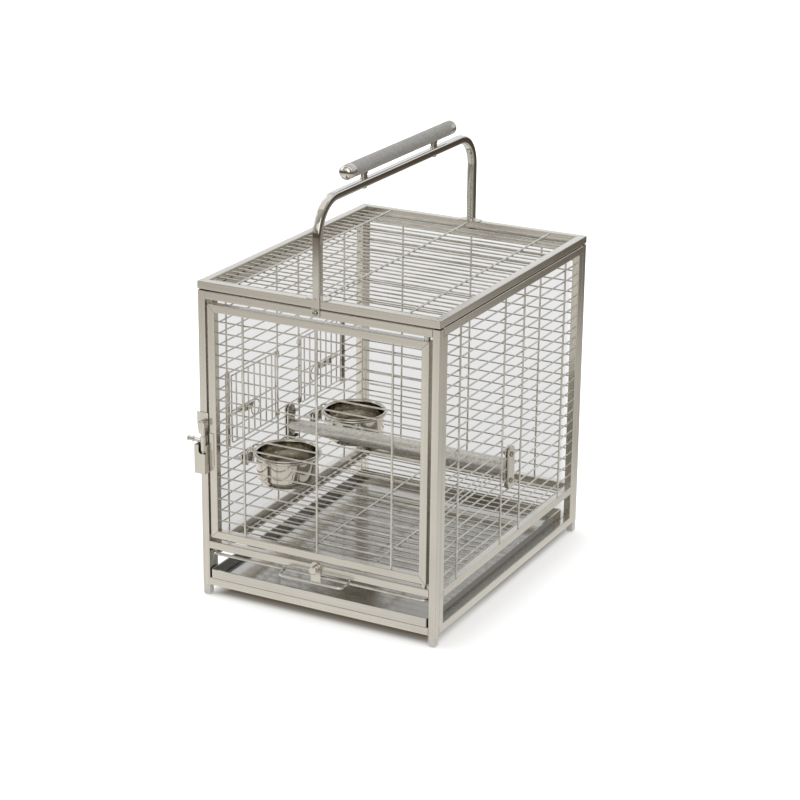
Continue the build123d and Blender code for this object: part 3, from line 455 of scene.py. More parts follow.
def dress(tree, shader, colour, tone, roughness, relief, strength, depth):
    """Feeds a shader with a toned colour, a roughness and a bump of a given depth."""
    shade = put(tree, "ShaderNodeVectorMath", operation="SCALE", Vector=colour, Scale=tone)
    bump = put(tree, "ShaderNodeBump", Strength=strength, Distance=depth, Height=relief)
    feed(tree, shader.inputs["Base Color"], shade.outputs[0])
    feed(tree, shader.inputs["Roughness"], roughness)
    feed(tree, shader.inputs["Normal"], bump.outputs[0])


print("finishes can be started and dressed")

# %% [markdown]
# ## Satin steel
#
# The square tube is satin: it was drawn over an abrasive belt, so fine scratches run along each
# tube. A noise texture, squeezed across the tube and stretched along it, gives the same lines at true
# scale on every tube. It drives three things: a faint change of tone, the roughness, and a
# very shallow bump that spreads reflections across the grain as real scratches do.
#
# Where the lid nearly touches the body, the narrow gap between them lies in shade. A painted shade,
# a slightly darker tone within a millimetre or two of that height, shows it as a dark line.

# %% Satin steel
fine_grain = {"across_per_m": 1700.0, "along_per_m": 9.0, "detail": 3.0, "seed": 0.0}
broad_grain = {"across_per_m": 210.0, "along_per_m": 2.5, "detail": 2.0, "seed": 3.1}
# painted shade along the lid gap: how near it stays darkest, how far it fades out, and how dark it is
gap_shade_core, gap_shade_reach, gap_shade_tone = 1.0 * MM, 1.8 * MM, 0.75


def streaks(tree, place, axis, across_per_m, along_per_m, detail, seed):
    """Noise drawn out along one axis. Returns its grey value."""
    scale = [across_per_m] * 3
    scale["XYZ".index(axis)] = along_per_m
    shift = (seed, seed * 0.7, seed * 1.3)
    squeeze = put(tree, "ShaderNodeMapping", Vector=place, Scale=scale, Location=shift)
    return noise(tree, squeeze.outputs[0], 1.0, detail, 0.6)


def satin_steel(name, colour, axis, second_axis=None, mask=None, rough=(0.15, 0.27), gap=None):
    """Belt-finished steel. mask(tree, place) gives 1 where the grain runs along second_axis, and a
    tone. gap is the height of a narrow gap, along which the tube gets a painted shade."""
    steel, tree, shader, place = new_finish(name, colour, rough[0])
    fine = streaks(tree, place, axis, **fine_grain)
    broad = streaks(tree, place, axis, **broad_grain)
    mask_tone = 1.0
    if mask:
        choose, mask_tone = mask(tree, place)
        fine = blend(tree, choose, fine, streaks(tree, place, second_axis, **fine_grain))
        broad = blend(tree, choose, broad, streaks(tree, place, second_axis, **broad_grain))
    smudge = noise(tree, place, 14.0, 4.0, 0.55)
    grain_tone = fade(tree, fine, 0.3, 0.7, -0.035, 0.035)
    tone = sum_of(tree, "ADD", grain_tone, fade(tree, broad, 0.3, 0.7, 0.95, 1.04))
    tone = sum_of(tree, "MULTIPLY", tone, fade(tree, smudge, 0.35, 0.65, 0.96, 1.03))
    tone = sum_of(tree, "MULTIPLY", tone, mask_tone)
    # painted shade: the tube is darker within a millimetre or two of the lid gap
    if gap:
        off = sum_of(tree, "ABSOLUTE", sum_of(tree, "SUBTRACT", split(tree, place)["Z"], gap))
        tone = sum_of(tree, "MULTIPLY", tone, fade(tree, off, gap_shade_core, gap_shade_reach, gap_shade_tone, 1.0))
    haze = fade(tree, smudge, 0.4, 0.7, 0.0, 0.07)
    haze = sum_of(tree, "ADD", fade(tree, fine, 0.3, 0.7, *rough), haze)
    dress(tree, shader, colour, tone, haze, fine, 0.2, 0.06 * MM)
    return steel


print("satin steel can be made")

# %% [markdown]
# A frame that is one node has tubes both ways. A mask built from the object coordinates picks the
# direction, and at a mitred corner the mask changes along the true mitre line. The tray is folded
# from sheet with the same grain, and its mask tells its floor from its walls by the way that they
# face. The floor is made darker, and the side walls get a painted shade: they sit in the dark gap
# between the tray and the rails.

# %% Masks for frames and for the tray
mitre_core, mitre_reach, mitre_tone = 0.2 * MM, 0.6 * MM, 0.45


def middle(node):
    """The centre of a node's box and half its size, in metres."""
    low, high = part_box(node)
    return (low + high) / 2, (high - low) / 2


def mitre_mask(node, axes):
    """For a mitred frame: 1 on the tubes that run along the second axis, and a dark mitre line."""
    centre, half = middle(node)

    def mask(tree, place):
        reach = []
        for axis in axes:
            k = "XYZ".index(axis)
            off = sum_of(tree, "SUBTRACT", split(tree, place)[axis], centre[k])
            reach.append(sum_of(tree, "SUBTRACT", sum_of(tree, "ABSOLUTE", off), half[k]))
        lean = sum_of(tree, "SUBTRACT", *reach)
        off_mitre = sum_of(tree, "ABSOLUTE", lean)
        line = fade(tree, off_mitre, mitre_core, mitre_reach, mitre_tone, 1.0)
        return sum_of(tree, "GREATER_THAN", lean, 0.0), line
    return mask


def upright_mask(low, high):
    """1 between two heights, where the tubes of a side frame stand upright, and an even tone."""
    def mask(tree, place):
        z = split(tree, place)["Z"]
        above = sum_of(tree, "GREATER_THAN", z, low)
        return sum_of(tree, "MULTIPLY", above, sum_of(tree, "LESS_THAN", z, high)), 1.0
    return mask


def sheet_mask(floor_tone, wall_shade_tone):
    """For a folded tray: 1 on its side walls, and a tone: darker on its floor, and a painted shade on
    its side walls.
    """
    def mask(tree, place):
        normal = split(tree, put(tree, "ShaderNodeNewGeometry").outputs["Normal"])
        side_wall = sum_of(tree, "GREATER_THAN", sum_of(tree, "ABSOLUTE", normal["X"]), 0.5)
        floor_darkening = fade(tree, sum_of(tree, "ABSOLUTE", normal["Z"]), 0.3, 0.9, 1.0, floor_tone)
        wall_shade = blend(tree, side_wall, 1.0, wall_shade_tone)
        return side_wall, sum_of(tree, "MULTIPLY", floor_darkening, wall_shade)
    return mask


print("masks ready")

# %% [markdown]
# Each direction of grain is a finish of its own, since a finish only knows the object's axes. All
# tubes share one colour. The runners are duller angle strip, and the tray is smoother sheet.

# %% Mix the satin finishes
satin = (0.60, 0.575, 0.525)
lid_gap = (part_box("front_left_post")[1].z + lid_low.z) / 2
lower_rail_top, top_rail_base = 75.7 * MM, 426.3 * MM
side_mask = upright_mask(lower_rail_top, top_rail_base)
door_mask, lid_mask = mitre_mask("door_frame", "XZ"), mitre_mask("lid_frame", "XY")
# the tray floor is darker (0.70); its side walls, down in the gap by the rails, get a painted shade
# (0.36)
tray_mask, tray_colour = sheet_mask(0.70, 0.36), (0.58, 0.56, 0.515)
# the tubes that meet the lid get the painted shade along the lid gap
satin_x = satin_steel("satin_steel_across", satin, "X", gap=lid_gap)
satin_z = satin_steel("satin_steel_upright", satin, "Z", gap=lid_gap)
satin_dull = satin_steel("satin_steel_runner", (0.66, 0.64, 0.60), "Y", rough=(0.32, 0.42))
satin_side = satin_steel("satin_steel_side", satin, "Y", "Z", side_mask, gap=lid_gap)
satin_door = satin_steel("satin_steel_door", satin, "X", "Z", door_mask)
satin_lid = satin_steel("satin_steel_lid", satin, "X", "Y", lid_mask, gap=lid_gap)
tray_finish = satin_steel("tray_steel_sheet", tray_colour, "X", "Y", tray_mask, rough=(0.07, 0.14))
print("lid gap at", round(lid_gap / MM, 2), "mm")
print("satin finishes:", [m.name for m in bpy.data.materials if m.name.startswith("satin")])

# %% [markdown]
# ## Wire and bright steel
#
# The wire was pulled through a die and then welded, so it has a dull drawn skin with darker spots of
# heat. Noise at two sizes gives both: a fine one for the skin and a coarse one for the heat.
#
# The handle, bowls and screws are buffed until they mirror the room. A perfect mirror looks false,
# so a coarse noise adds a haze of finger marks, and a distorted fine one the swirls of the wheel.

# %% Wire and bright steel


def drawn_wire(name, colour, rough):
    """Welded wire: a dull drawn skin, with darker spots of weld heat here and there."""
    steel, tree, shader, place = new_finish(name, colour, rough[0])
    skin = noise(tree, place, 900.0, 3.0, 0.6)
    heat = noise(tree, place, 60.0, 2.0)
    skin_tone = fade(tree, skin, 0.35, 0.65, 0.93, 1.05)
    tone = sum_of(tree, "MULTIPLY", skin_tone, fade(tree, heat, 0.38, 0.62, 0.86, 1.05))
    haze = fade(tree, skin, 0.3, 0.7, *rough)
    dress(tree, shader, colour, tone, haze, skin, 0.25, 0.05 * MM)
    return steel


def bright_steel(name, colour, rough):
    """Buffed steel: a near mirror with faint polishing lines and finger haze."""
    steel, tree, shader, place = new_finish(name, colour, rough[0])
    marks = noise(tree, place, 35.0, 4.0, 0.6)
    swirl = noise(tree, place, 700.0, 2.0, 0.5, 0.6)
    tone = fade(tree, marks, 0.35, 0.65, 0.96, 1.03)
    haze = fade(tree, marks, 0.4, 0.7, *rough)
    haze = sum_of(tree, "ADD", haze, fade(tree, swirl, 0.4, 0.7, 0.0, 0.03))
    dress(tree, shader, colour, tone, haze, swirl, 0.08, 0.04 * MM)
    return steel


wire_finish = drawn_wire("wire_steel_drawn", (0.60, 0.585, 0.545), (0.10, 0.20))
bright_finish = bright_steel("polished_steel_buffed", (0.60, 0.58, 0.54), (0.05, 0.12))
mirror_finish = bright_steel("polished_steel_mirror", (0.62, 0.60, 0.56), (0.02, 0.05))
handle_finish = bright_steel("polished_steel_tube", (0.60, 0.585, 0.55), (0.03, 0.08))
bowl_finish = bright_steel("polished_steel_bowl", (0.54, 0.515, 0.46), (0.05, 0.10))
screw_finish = bright_steel("polished_steel_screw", (0.34, 0.325, 0.295), (0.03, 0.08))
print("bright finishes:", [m.name for m in bpy.data.materials if m.name.startswith("polished")])

# %% [markdown]
# ## Rough steel
#
# The grip is knurled: two rollers press crossing grooves into it, about a millimetre apart. The
# grooves could be cut as real geometry, but thousands of tiny pyramids cost a lot and would hardly
# show. Two sine waves, one for each way the grooves wind round the bar, give the same relief. Each
# wave needs the angle round the bar, which Arctan2 of the two cross directions gives, and a whole
# number of grooves, so that the pattern closes. The knurl stops short of the ends.
#
# The perch is only blasted with grit, so it gets the specks without the grooves.

# %% Rough steel


def rough_steel(name, colour, rough, node, axis, strength, knurl=0.0, band=0.0):
    """A round bar with a rough skin: blasted, or cut with a knurl that stops short of its ends."""
    steel, tree, shader, place = new_finish(name, colour, rough[0], metallic=0.78)
    centre, half = middle(node)
    run = "XYZ".index(axis)
    across, up = [k for k in range(3) if k != run]
    move = put(tree, "ShaderNodeVectorMath", operation="SUBTRACT", Vector=place)
    move.inputs[1].default_value = centre
    parts = split(tree, move.outputs[0])
    speck = noise(tree, place, 1300.0, 2.0, 0.7)
    smear = noise(tree, place, 260.0, 3.0, 0.6)
    speck_tone = fade(tree, speck, 0.35, 0.65, 0.80, 1.22)
    tone = sum_of(tree, "MULTIPLY", speck_tone, fade(tree, smear, 0.38, 0.62, 0.88, 1.10))
    relief = speck
    if knurl:
        angle = sum_of(tree, "ARCTAN2", parts[across], parts[up])
        turns = sum_of(tree, "MULTIPLY", angle, round(half[up] / knurl * 2 * pi))
        slope = sum_of(tree, "MULTIPLY", parts[run], 2 * pi / knurl)
        grooves = []
        for way in ("ADD", "SUBTRACT"):
            wave = sum_of(tree, "SINE", sum_of(tree, way, turns, slope))
            grooves.append(sum_of(tree, "ABSOLUTE", wave))
        relief = sum_of(tree, "MULTIPLY_ADD", sum_of(tree, "MINIMUM", *grooves), 0.8, speck)
    cut_end = half[run] - band
    cut = fade(tree, sum_of(tree, "ABSOLUTE", parts[run]), cut_end - 1.0 * MM, cut_end, 1.0, 0.0)
    plain_rough = 0.08
    haze = blend(tree, cut, plain_rough, fade(tree, smear, 0.3, 0.7, *rough))
    bump_strength = sum_of(tree, "MULTIPLY", cut, strength)
    tone = blend(tree, cut, 1.0, tone)
    dress(tree, shader, colour, tone, haze, relief, bump_strength, 0.15 * MM)
    return steel


grip_band = 12.0
grip_finish = rough_steel(
    "grip_steel_knurled", (0.42, 0.41, 0.39), (0.52, 0.66), "grip_tube", "Y", 0.8,
    knurl=1.0 * MM, band=grip_band * MM,
)
perch_finish = rough_steel(
    "perch_steel_blasted", (0.55, 0.54, 0.50), (0.26, 0.38), "perch_bar", "X", 0.35,
)
print("the knurl stops", grip_band, "mm before each end of the grip")

# %% [markdown]
# ## Moulded caps
#
# The feet are grey plastic caps, and the hinge bushes are black ones inside the door's tubes. Cheap
# moulded plastic is never quite even, so a coarse noise mottles it and a fine one gives it grain.

# %% Moulded plastic


def moulded(name, colour, rough):
    """Plastic cap: faint mottling and a fine moulded grain."""
    plastic, tree, shader, place = new_finish(name, colour, rough, metallic=0.0)
    grain = noise(tree, place, 1500.0, 2.0)
    cloud = noise(tree, place, 120.0, 3.0)
    tone = fade(tree, cloud, 0.35, 0.65, 0.9, 1.08)
    haze = fade(tree, cloud, 0.3, 0.7, rough, rough + 0.12)
    dress(tree, shader, colour, tone, haze, grain, 0.2, 0.06 * MM)
    return plastic


foot_finish = moulded("foot_cap_grey", (0.43, 0.42, 0.385), 0.3)
bush_finish = moulded("bush_black", (0.03, 0.03, 0.03), 0.4)
print("finishes:", len(bpy.data.materials))

# %% [markdown]
# ## Turned and bent pieces
#
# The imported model's round pieces are made of flat facets, which shows on polished metal. The pieces
# that catch the light are made again here, in the same places, with rounded edges and smooth
# shading. Two operators make nearly all of them, as a workshop does:
#
# - Spin turns a profile round an axis, like a lathe. Bowls, knobs, domes and the perch are turned.
# - Extrude and Spin push an end face along a path, like a tube bender. That keeps the corners of a
#   square tube in line round the bend, which a curve with a bevel doesn't always do.
#
# Every piece is built in place, in metres, from the box of the node that it stands for. Profiles are
# lists of (radius, height) in millimetres, because that is how a turner would write them down.

# %% Turn a profile


def arc(centre, radius, start, stop, steps):
    """Points (radius, height) along an arc of a profile, angles in degrees."""
    angles = [radians(start + (stop - start) * k / steps) for k in range(steps + 1)]
    return [(centre[0] + radius * cos(a), centre[1] + radius * sin(a)) for a in angles]


def turned(shape, profile, foot, axis, steps):
    """Spins a profile of (radius, height) in mm round an axis that starts at foot."""
    axis = Vector(axis).normalized()
    across = axis.orthogonal().normalized()
    corners = [shape.verts.new(Vector(foot) + (across * r + axis * h) * MM) for r, h in profile]
    edges = [shape.edges.new(pair) for pair in zip(corners, corners[1:])]
    bmesh.ops.spin(
        shape, geom=corners + edges, cent=foot, axis=axis, dvec=(0, 0, 0), angle=2 * pi, steps=steps,
        use_merge=True,
    )


print("profiles can be turned")

# %% [markdown]
# A bent bar starts as one end face. A square with its corners bevelled gives the rounded section,
# and from then on the same face is pushed straight or carried round a quarter turn.

# %% Push and bend an end face


def end_face(shape, centre, toward, side, corner):
    """The rounded square face that a bar starts from, in metres."""
    turn = Vector((0, 0, 1)).rotation_difference(Vector(toward)).to_matrix().to_4x4()
    place = Matrix.Translation(centre) @ turn
    made = bmesh.ops.create_grid(shape, x_segments=1, y_segments=1, size=side / 2, matrix=place)
    rounded = bmesh.ops.bevel(
        shape, geom=made["verts"], affect="VERTICES", offset=corner, segments=5, profile=0.5,
        material=-1,
    )
    return rounded["verts"][0].link_faces[0]


def pushed(shape, face, move):
    """Extrudes an end face along a vector and gives the new end face."""
    grown = bmesh.ops.extrude_face_region(shape, geom=[face])["geom"]
    corners = [g for g in grown if isinstance(g, bmesh.types.BMVert)]
    bmesh.ops.translate(shape, vec=move, verts=corners)
    return next(g for g in grown if isinstance(g, bmesh.types.BMFace))


def bent(shape, face, centre, axis, steps=14):
    """Carries an end face round a quarter bend and gives the new end face."""
    made = bmesh.ops.spin(
        shape, geom=[face], cent=centre, axis=axis, dvec=(0, 0, 0), angle=pi / 2, steps=steps,
    )
    bmesh.ops.delete(shape, geom=[face], context="FACES_ONLY")
    return next(g for g in made["geom_last"] if isinstance(g, bmesh.types.BMFace))


print("end faces can be pushed and bent")

# %% [markdown]
# A turned piece should look smooth round its axis and crisp at its shoulders. An Edge Split modifier
# would do it, but marking the edges is lighter: an edge is sharp where its two faces turn by more
# than a crease angle. Then the piece rides on its body and takes over the place of its node.

# %% Finish a piece
crease = radians(38)


def finished(name, shape, finish, body, stands_for):
    """Turns the mesh into a smooth object with crisp edges that rides on a body."""
    bmesh.ops.remove_doubles(shape, verts=shape.verts, dist=1e-6)
    bmesh.ops.recalc_face_normals(shape, faces=shape.faces)
    for face in shape.faces:
        face.smooth = True
    for edge in shape.edges:
        if len(edge.link_faces) == 2:
            edge.smooth = edge.calc_face_angle(0.0) < crease
    mesh = bpy.data.meshes.new(name)
    shape.to_mesh(mesh)
    shape.free()
    mesh.materials.append(finish)
    piece = bpy.data.objects.new(name, mesh)
    scene.collection.objects.link(piece)
    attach(piece, body)
    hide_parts(*stands_for)
    print(f"{name}: {len(mesh.polygons)} faces")


print("pieces can be finished")

# %% [markdown]
# ## The handle
#
# The bar is one length of square tube, bent twice and buffed bright. It is pushed up from the front
# bracket, round the first bend, along, round the second and down to the rear bracket. The bends are
# 45 mm on the centre line.

# %% Bend the bar
low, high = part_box("handle_tube")
tube_side = high.x - low.x
tube_corner = 2.4 * MM
bend_radius = 45 * MM
bar_x = (low.x + high.x) / 2
front_leg, rear_leg = low.y + tube_side / 2, high.y - tube_side / 2
bend_z = high.z - tube_side / 2 - bend_radius
leg_height = bend_z - low.z
bar = bmesh.new()
tip = end_face(bar, (bar_x, front_leg, low.z), (0, 0, 1), tube_side, tube_corner)
tip = pushed(bar, tip, (0, 0, leg_height))
tip = bent(bar, tip, (bar_x, front_leg + bend_radius, bend_z), (-1, 0, 0))
tip = pushed(bar, tip, (0, rear_leg - front_leg - 2 * bend_radius, 0))
tip = bent(bar, tip, (bar_x, rear_leg - bend_radius, bend_z), (-1, 0, 0))
pushed(bar, tip, (0, 0, -leg_height))
finished("handle_bar", bar, handle_finish, "carrier", ["handle_tube"])

# %% [markdown]
# The grip is a round tube, left plain and bright for a finger's width at each end. The knurled part
# between them stands a little lower than the ends. A cylinder with a Solidify wall would do for
# the tube, but one profile gives the wall, the eased rims and that small step together.

# %% Turn the grip
centre, half = middle("grip_tube")
grip_radius = half.z / MM
grip_length = 2 * half.y / MM
grip_start = (centre.x, centre.y - half.y, centre.z)
grip_wall = 1.2
grip_edge = 0.3
skim = 0.15
near_half = [(grip_radius - grip_wall, 0.0), (grip_radius - grip_edge, 0.0), (grip_radius, grip_edge)]
near_half += [(grip_radius, grip_band), (grip_radius - skim, grip_band + grip_edge)]
far_half = [(r, grip_length - h) for r, h in reversed(near_half)]
grip = bmesh.new()
turned(grip, near_half + far_half + near_half[:1], grip_start, (0, 1, 0), 48)
finished("grip", grip, grip_finish, "carrier", ["grip_tube"])

# %% [markdown]
# Two polished domes close the grip. Half a sphere could be scaled flat for each, but turning keeps
# the plug, the short rim and the dome in one skin, with no seam to hide.

# %% Turn the domes
low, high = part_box("grip_end_caps")
cap_reach = (grip_start[1] - low.y) / MM
plug_radius, plug_length = grip_radius - 1.4, 6.0
rim_height = 1.6
dome_foot = rim_height + 0.1
dome_radius, dome_height = grip_radius - 0.9, cap_reach - dome_foot
dome = [(plug_radius, -plug_length), (plug_radius, 0.0), (grip_radius - 0.5, 0.0), (grip_radius, 0.5)]
dome += [(grip_radius, rim_height - 0.5), (grip_radius - 0.5, rim_height), (dome_radius, dome_foot)]
dome_angles = [radians(a) for a in range(9, 91, 9)]
dome += [(dome_radius * cos(a), dome_foot + dome_height * sin(a)) for a in dome_angles]
caps = bmesh.new()
for y, way in ((grip_start[1], -1), (grip_start[1] + grip_length * MM, 1)):
    turned(caps, dome, (centre.x, y, centre.z), (0, way, 0), 40)
finished("grip_domes", caps, mirror_finish, "carrier", ["grip_end_caps"])

# %% [markdown]
# Two short posts hold the grip above the bar. They have a thicker shoulder at each end, where they
# meet the bar and the grip. Scaled rings of a cylinder would do, but a profile is quicker to read.

# %% Turn the posts
low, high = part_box("grip_standoffs")
post_radius = (high.x - low.x) / 2 / MM
post_height = (high.z - low.z) / MM
waist = post_radius - 0.7
post = [(0.0, 0.0), (post_radius - 0.4, 0.0), (post_radius, 0.4), (post_radius, 1.6), (waist, 2.1)]
post += [(waist, post_height - 3.0), (post_radius, post_height - 2.4)]
post += [(post_radius, post_height), (0.0, post_height)]
posts = bmesh.new()
for y in (low.y + post_radius * MM, high.y - post_radius * MM):
    turned(posts, post, (centre.x, y, low.z), (0, 0, 1), 32)
finished("grip_posts", posts, mirror_finish, "carrier", ["grip_standoffs"])

# %% [markdown]
# ## Bowls
#
# A bowl is one sheet of steel drawn deep, so its wall is thin, its corner is a wide curve, and its
# edge is rolled over outwards until it closes on itself. The profile is drawn once, from the middle
# of the floor up the outside, round the roll and down the inside, and then spun. The middle of the
# floor is pressed up a little, so that the bowl stands on a ring and doesn't rock. Solidify could
# thicken a single sheet, but it can't roll the edge.

# %% Draw the bowls
bowl_wall = 0.8
bowl_corner = 12.5
rim_width = 3.2
roll_radius = 1.2
neck_foot, neck_drop, neck_radius = 4.6, 4.0, 1.0
lip_drop, lip_radius = 3.0, 1.7
press_height, press_inner, press_outer = 0.9, 16.0, 17.5
for name in ("front", "rear"):
    centre, half = middle(f"{name}_bowl")
    rim_radius = half.x / MM
    depth = 2 * half.z / MM
    body_radius = rim_radius - rim_width
    corner_centre = (body_radius - bowl_corner, bowl_corner)
    profile = [(0.0, press_height), (press_inner, press_height), (press_outer, 0.0)]
    profile += arc(corner_centre, bowl_corner, -90, 0, 9) + [(body_radius, depth - neck_foot)]
    profile += arc((body_radius + neck_radius, depth - neck_drop), neck_radius, 180, 90, 3)
    profile += arc((rim_radius - roll_radius, depth - roll_radius), roll_radius, -110, 150, 12)
    profile += arc((body_radius - bowl_wall + lip_radius, depth - lip_drop), lip_radius, 110, 180, 4)
    profile += arc(corner_centre, bowl_corner - bowl_wall, 0, -90, 9) + [(press_outer, bowl_wall)]
    profile += [(press_inner, bowl_wall + press_height), (0.0, bowl_wall + press_height)]
    cup = bmesh.new()
    turned(cup, profile, (centre.x, centre.y, centre.z - half.z), (0, 0, 1), 64)
    finished(f"{name}_bowl_drawn", cup, bowl_finish, f"{name}_cup", [f"{name}_bowl"])

# %% [markdown]
# ## The perch
#
# The perch is a round tube whose left half narrows toward its end, so that a bird can choose how
# wide it grips. The skin is blasted, so that claws don't slip, and the sharp rims are eased. The
# tube could be a cylinder scaled at one end, but a spun profile gives taper, wall and rims at once.

# %% Turn the perch
centre, half = middle("perch_bar")
perch_length = 2 * half.x / MM
perch_wall = 1.5
taper = 2.25
thick, thin = half.z / MM, half.z / MM - taper
profile = [(thin - perch_wall, 0.0), (thin - 0.4, 0.0), (thin, 0.4), (thin, 2.0)]
profile += [(thick, perch_length / 2), (thick, perch_length - 0.4), (thick - 0.4, perch_length)]
profile += [(thick - perch_wall, perch_length)]
perch = bmesh.new()
turned(perch, profile + profile[:1], (centre.x - half.x, centre.y, centre.z), (1, 0, 0), 48)
finished("perch_turned", perch, perch_finish, "carrier", ["perch_bar"])

# %% [markdown]
# ## Domed screws
#
# The screws of the perch and the bowls have domed heads with a hexagon socket, and those of the
# handle's straps are plain domes. The head is turned, then its flat middle is inset, the inner
# corners are moved out or in until they lie on a hexagon, and that face is pushed down. A Boolean
# could cut the socket, but it would leave long thin faces that shade badly.

# %% Make a domed screw
head_height = 2.6
socket_depth = 1.4
flat_per_socket = 0.72
socket_rim = 0.1


def domed_screw(shank, length, head, socket=0.0):
    """A screw with its head above z = 0 and its shank below, sizes in mm, as a mesh to stamp."""
    shape = bmesh.new()
    flat = socket * flat_per_socket
    profile = [(0.0, -length), (shank / 2 - 0.3, -length), (shank / 2, 0.3 - length)]
    profile += [(shank / 2, 0.0), (head / 2 - 0.2, 0.0)]
    for turn in [radians(a) for a in range(0, 91, 15)]:
        profile.append((flat + (head / 2 - flat) * cos(turn), 0.2 + (head_height - 0.2) * sin(turn)))
    turned(shape, profile, (0, 0, 0), (0, 0, 1), 24)
    bmesh.ops.remove_doubles(shape, verts=shape.verts, dist=1e-6)
    if socket:
        rim = [v for v in shape.verts if abs(v.co.z - head_height * MM) < 1e-7]
        face = bmesh.ops.contextual_create(shape, geom=rim)["faces"][0]
        bmesh.ops.inset_region(shape, faces=[face], thickness=socket_rim * MM, use_boundary=True)
        for v in face.verts:
            turn = atan2(v.co.y, v.co.x) % radians(60)
            v.co.xy = v.co.xy.normalized() * socket / 2 * MM / cos(turn - radians(30))
        pushed(shape, face, (0, 0, -socket_depth * MM))
    mesh = bpy.data.meshes.new("screw_shape")
    shape.to_mesh(mesh)
    shape.free()
    return mesh


perch_head, strap_head, clamp_head = 8.0, 8.0, 10.0
perch_screw = domed_screw(shank=4.0, length=12.4, head=perch_head, socket=3.2)
strap_screw = domed_screw(shank=4.0, length=7.5, head=strap_head)
clamp_screw = domed_screw(shank=5.0, length=13.4, head=clamp_head, socket=4.0)
print("perch screw:", len(perch_screw.polygons), "faces")

# %% [markdown]
# Equal screws are stamped from one mesh, each turned so that its head looks outwards. Linked copies
# would be lighter, but each would be an object of its own. The screws of one node become one piece,
# because they stand for that node together.

# %% Stamp the screws


def screw_set(name, mesh, seats, stands_for):
    """One piece of equal screws. seats are (place, direction of the head)."""
    shape = bmesh.new()
    for seat, up in seats:
        count = len(shape.verts)
        shape.from_mesh(mesh)
        shape.verts.ensure_lookup_table()
        turn = Vector((0, 0, 1)).rotation_difference(Vector(up)).to_matrix().to_4x4()
        place = Matrix.Translation(seat) @ turn
        bmesh.ops.transform(shape, matrix=place, verts=shape.verts[count:])
    finished(name, shape, screw_finish, "carrier", stands_for)


plate_low, plate_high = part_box("perch_outer_plates")
low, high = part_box("perch_bolts")
y = (low.y + high.y) / 2
heights = (low.z + perch_head / 2 * MM, high.z - perch_head / 2 * MM)
seats = [((plate_low.x, y, z), (-1, 0, 0)) for z in heights]
seats += [((plate_high.x, y, z), (1, 0, 0)) for z in heights]
screw_set("perch_screws", perch_screw, seats, ["perch_bolts"])

low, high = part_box("strap_screws")
x, z = (low.x + high.x) / 2, (low.z + high.z) / 2
seats = [((x, low.y + head_height * MM, z), (0, -1, 0)), ((x, high.y - head_height * MM, z), (0, 1, 0))]
screw_set("strap_screw_heads", strap_screw, seats, ["strap_screws"])

low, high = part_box("bowl_clamp_bolts")
x, z = high.x - head_height * MM, (low.z + high.z) / 2
spots = (low.y + clamp_head / 2 * MM, high.y - clamp_head / 2 * MM)
seats = [((x, y, z), (1, 0, 0)) for y in spots]
screw_set("bowl_clamp_screws", clamp_screw, seats, ["bowl_clamp_bolts"])

# %% [markdown]
# ## The latch bolt
#
# The latch bolt is a thick barrel on a thinner pin, with an arm that ends in a small flanged knob.
# Barrel and arm are two turned shapes that cross, as if the arm were screwed into the barrel. A
# Boolean could join them, but the crossing is hidden inside, and the plain shapes shade better.

# %% Turn the latch bolt
low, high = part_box("latch_bolt")
barrel_radius = (high.y - low.y) / 2 / MM
bolt_axis = Vector((high.x - barrel_radius * MM, (low.y + high.y) / 2, low.z))
pin_radius = 3.5
barrel_foot, barrel_head, bolt_length = 26.0, 48.0, (high.z - low.z) / MM
profile = [(0.0, 0.0), (pin_radius - 0.8, 0.0), (pin_radius, 0.8), (pin_radius, barrel_foot)]
profile += [(barrel_radius - 1.0, barrel_foot), (barrel_radius, barrel_foot + 1.0)]
profile += [(barrel_radius, barrel_head - 1.0), (barrel_radius - 1.0, barrel_head)]
profile += [(pin_radius, barrel_head)]
profile += arc((pin_radius - 1.4, bolt_length - 1.4), 1.4, 0, 90, 4) + [(0.0, bolt_length)]
bolt = bmesh.new()
turned(bolt, profile, bolt_axis, (0, 0, 1), 32)

arm_reach = (bolt_axis.x - low.x) / MM
arm_height = barrel_foot + 15.2
arm_spot = bolt_axis + Vector((0, 0, arm_height * MM))
knob_radius, stem_radius = 3.65, 3.15
arm = [(knob_radius, 2.0), (knob_radius, 6.0), (stem_radius, 6.8), (stem_radius, 13.5)]
arm += [(knob_radius, 14.0), (knob_radius, 16.4), (stem_radius, 17.0), (stem_radius, arm_reach - 3.8)]
arm += [(knob_radius, arm_reach - 3.3)]
arm += arc((knob_radius - 1.2, arm_reach - 1.2), 1.2, 0, 90, 4) + [(0.0, arm_reach)]
turned(bolt, arm, arm_spot, (-1, 0, 0), 32)
finished("latch_bolt_turned", bolt, bright_finish, "latch_slider", ["latch_bolt"])

# %% [markdown]
# ## The feeder bolts
#
# A feeder bolt is a pin with a wire ring through its end. The ring is a small circle spun round a
# large one. A torus primitive would need its place worked out afterwards; Spin makes it in place.

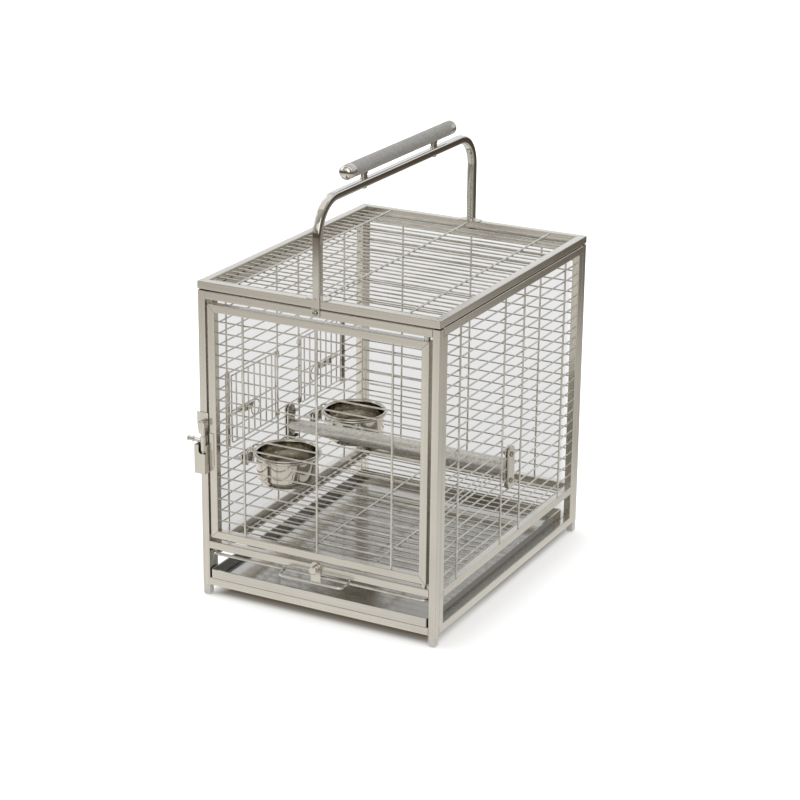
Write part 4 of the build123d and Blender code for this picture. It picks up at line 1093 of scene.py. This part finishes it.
# %% Make the feeder bolts
ring_size, ring_wire, hang = 10.9, 2.2, radians(50)
ring_reach = ring_size + ring_wire / 2
for name, way in (("front", -1), ("rear", 1)):
    low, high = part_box(f"{name}_feeder_bolt")
    bolt_x = (low.x + high.x) / 2
    ring_z = low.z + ring_reach * MM
    bolt_z = ring_z + ring_size * sin(hang) * MM
    ring_y = (high.y if way < 0 else low.y) + way * ring_reach * MM
    bolt_end = low.y if way < 0 else high.y
    pin_length = abs(bolt_end - ring_y) / MM - ring_size * cos(hang)
    profile = [(0.0, 0.0), (1.2, 0.0), (2.0, 0.8), (2.0, pin_length - 1.0)]
    profile += [(1.4, pin_length), (0.0, pin_length)]
    pin = bmesh.new()
    turned(pin, profile, (bolt_x, bolt_end, bolt_z), (0, -way, 0), 24)
    centre = Vector((bolt_x, ring_y, ring_z))
    start = centre + Vector((0, ring_size * MM, 0))
    wire_radius = ring_wire / 2 * MM
    place = Matrix.Translation(start)
    bmesh.ops.create_circle(pin, radius=wire_radius, segments=12, matrix=place)
    wire_loop = [v for v in pin.verts if (v.co - start).length < wire_radius + 1e-6]
    loop_edges = list({e for v in wire_loop for e in v.link_edges})
    bmesh.ops.spin(
        pin, geom=wire_loop + loop_edges, cent=centre, axis=(1, 0, 0), dvec=(0, 0, 0), angle=2 * pi,
        steps=40, use_merge=True,
    )
    body, node = f"{name}_feeder_slider", f"{name}_feeder_bolt"
    finished(f"{name}_pull_ring", pin, bright_finish, body, [node])

# %% [markdown]
# ## The thumb screw
#
# The thumb screw holds the grate in place. Its round knob has a groove near the front, a rounded
# edge and a face that is dished a little. On a bevelled cylinder each of them would take a step of
# its own. In a profile they are a few points.

# %% Turn the thumb screw
low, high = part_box("thumb_screw")
knob_radius = (high.x - low.x) / 2 / MM
knob_length = 9.0
stem_radius, stem_end = 2.5, (high.y - low.y) / MM
groove = knob_radius - 0.35
profile = [(0.0, stem_end), (stem_radius - 0.3, stem_end), (stem_radius, stem_end - 0.3)]
profile += [(stem_radius, knob_length), (knob_radius - 0.9, knob_length)]
profile += [(knob_radius, knob_length - 0.8), (knob_radius, 2.2), (groove, 2.0), (groove, 1.7)]
profile += [(knob_radius, 1.5)] + arc((knob_radius - 1.2, 1.2), 1.2, 0, -70, 4)
profile += [(knob_radius - 2.4, 0.0), (knob_radius - 3.2, 0.25), (0.0, 0.1)]
thumb = bmesh.new()
turned(thumb, profile, ((low.x + high.x) / 2, low.y, (low.z + high.z) / 2), (0, 1, 0), 40)
finished("thumb_screw_turned", thumb, mirror_finish, "grate_screw", ["thumb_screw"])

# %% [markdown]
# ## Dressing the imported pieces
#
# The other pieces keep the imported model's meshes and get a finish in their own slots. Most need only
# what their slot says. The tubes go by node instead, because their grain follows their direction,
# and so do the dull runners and the dark small nuts.

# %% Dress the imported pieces
by_slot = {
    "satin_steel": satin_z, "wire_steel": wire_finish, "polished_steel": bright_finish,
    "tray_steel": tray_finish, "grip_steel": grip_finish, "perch_steel": perch_finish,
    "foot_cap": foot_finish, "bush": bush_finish,
}
by_node = {
    "front_rails": satin_x, "back_rails": satin_x, "left_side_frame": satin_side,
    "right_side_frame": satin_side, "door_frame": satin_door, "lid_frame": satin_lid,
    "tray_runners": satin_dull, "grate_runners": satin_dull,
    "perch_nuts": screw_finish, "bowl_wing_nuts": screw_finish,
}
for subpart in frame["record"]["subparts"]:
    piece = nodes[subpart["node"]]
    finish = by_node.get(subpart["node"], by_slot[subpart["material_slot"]])
    for place in piece.material_slots:
        place.material = finish
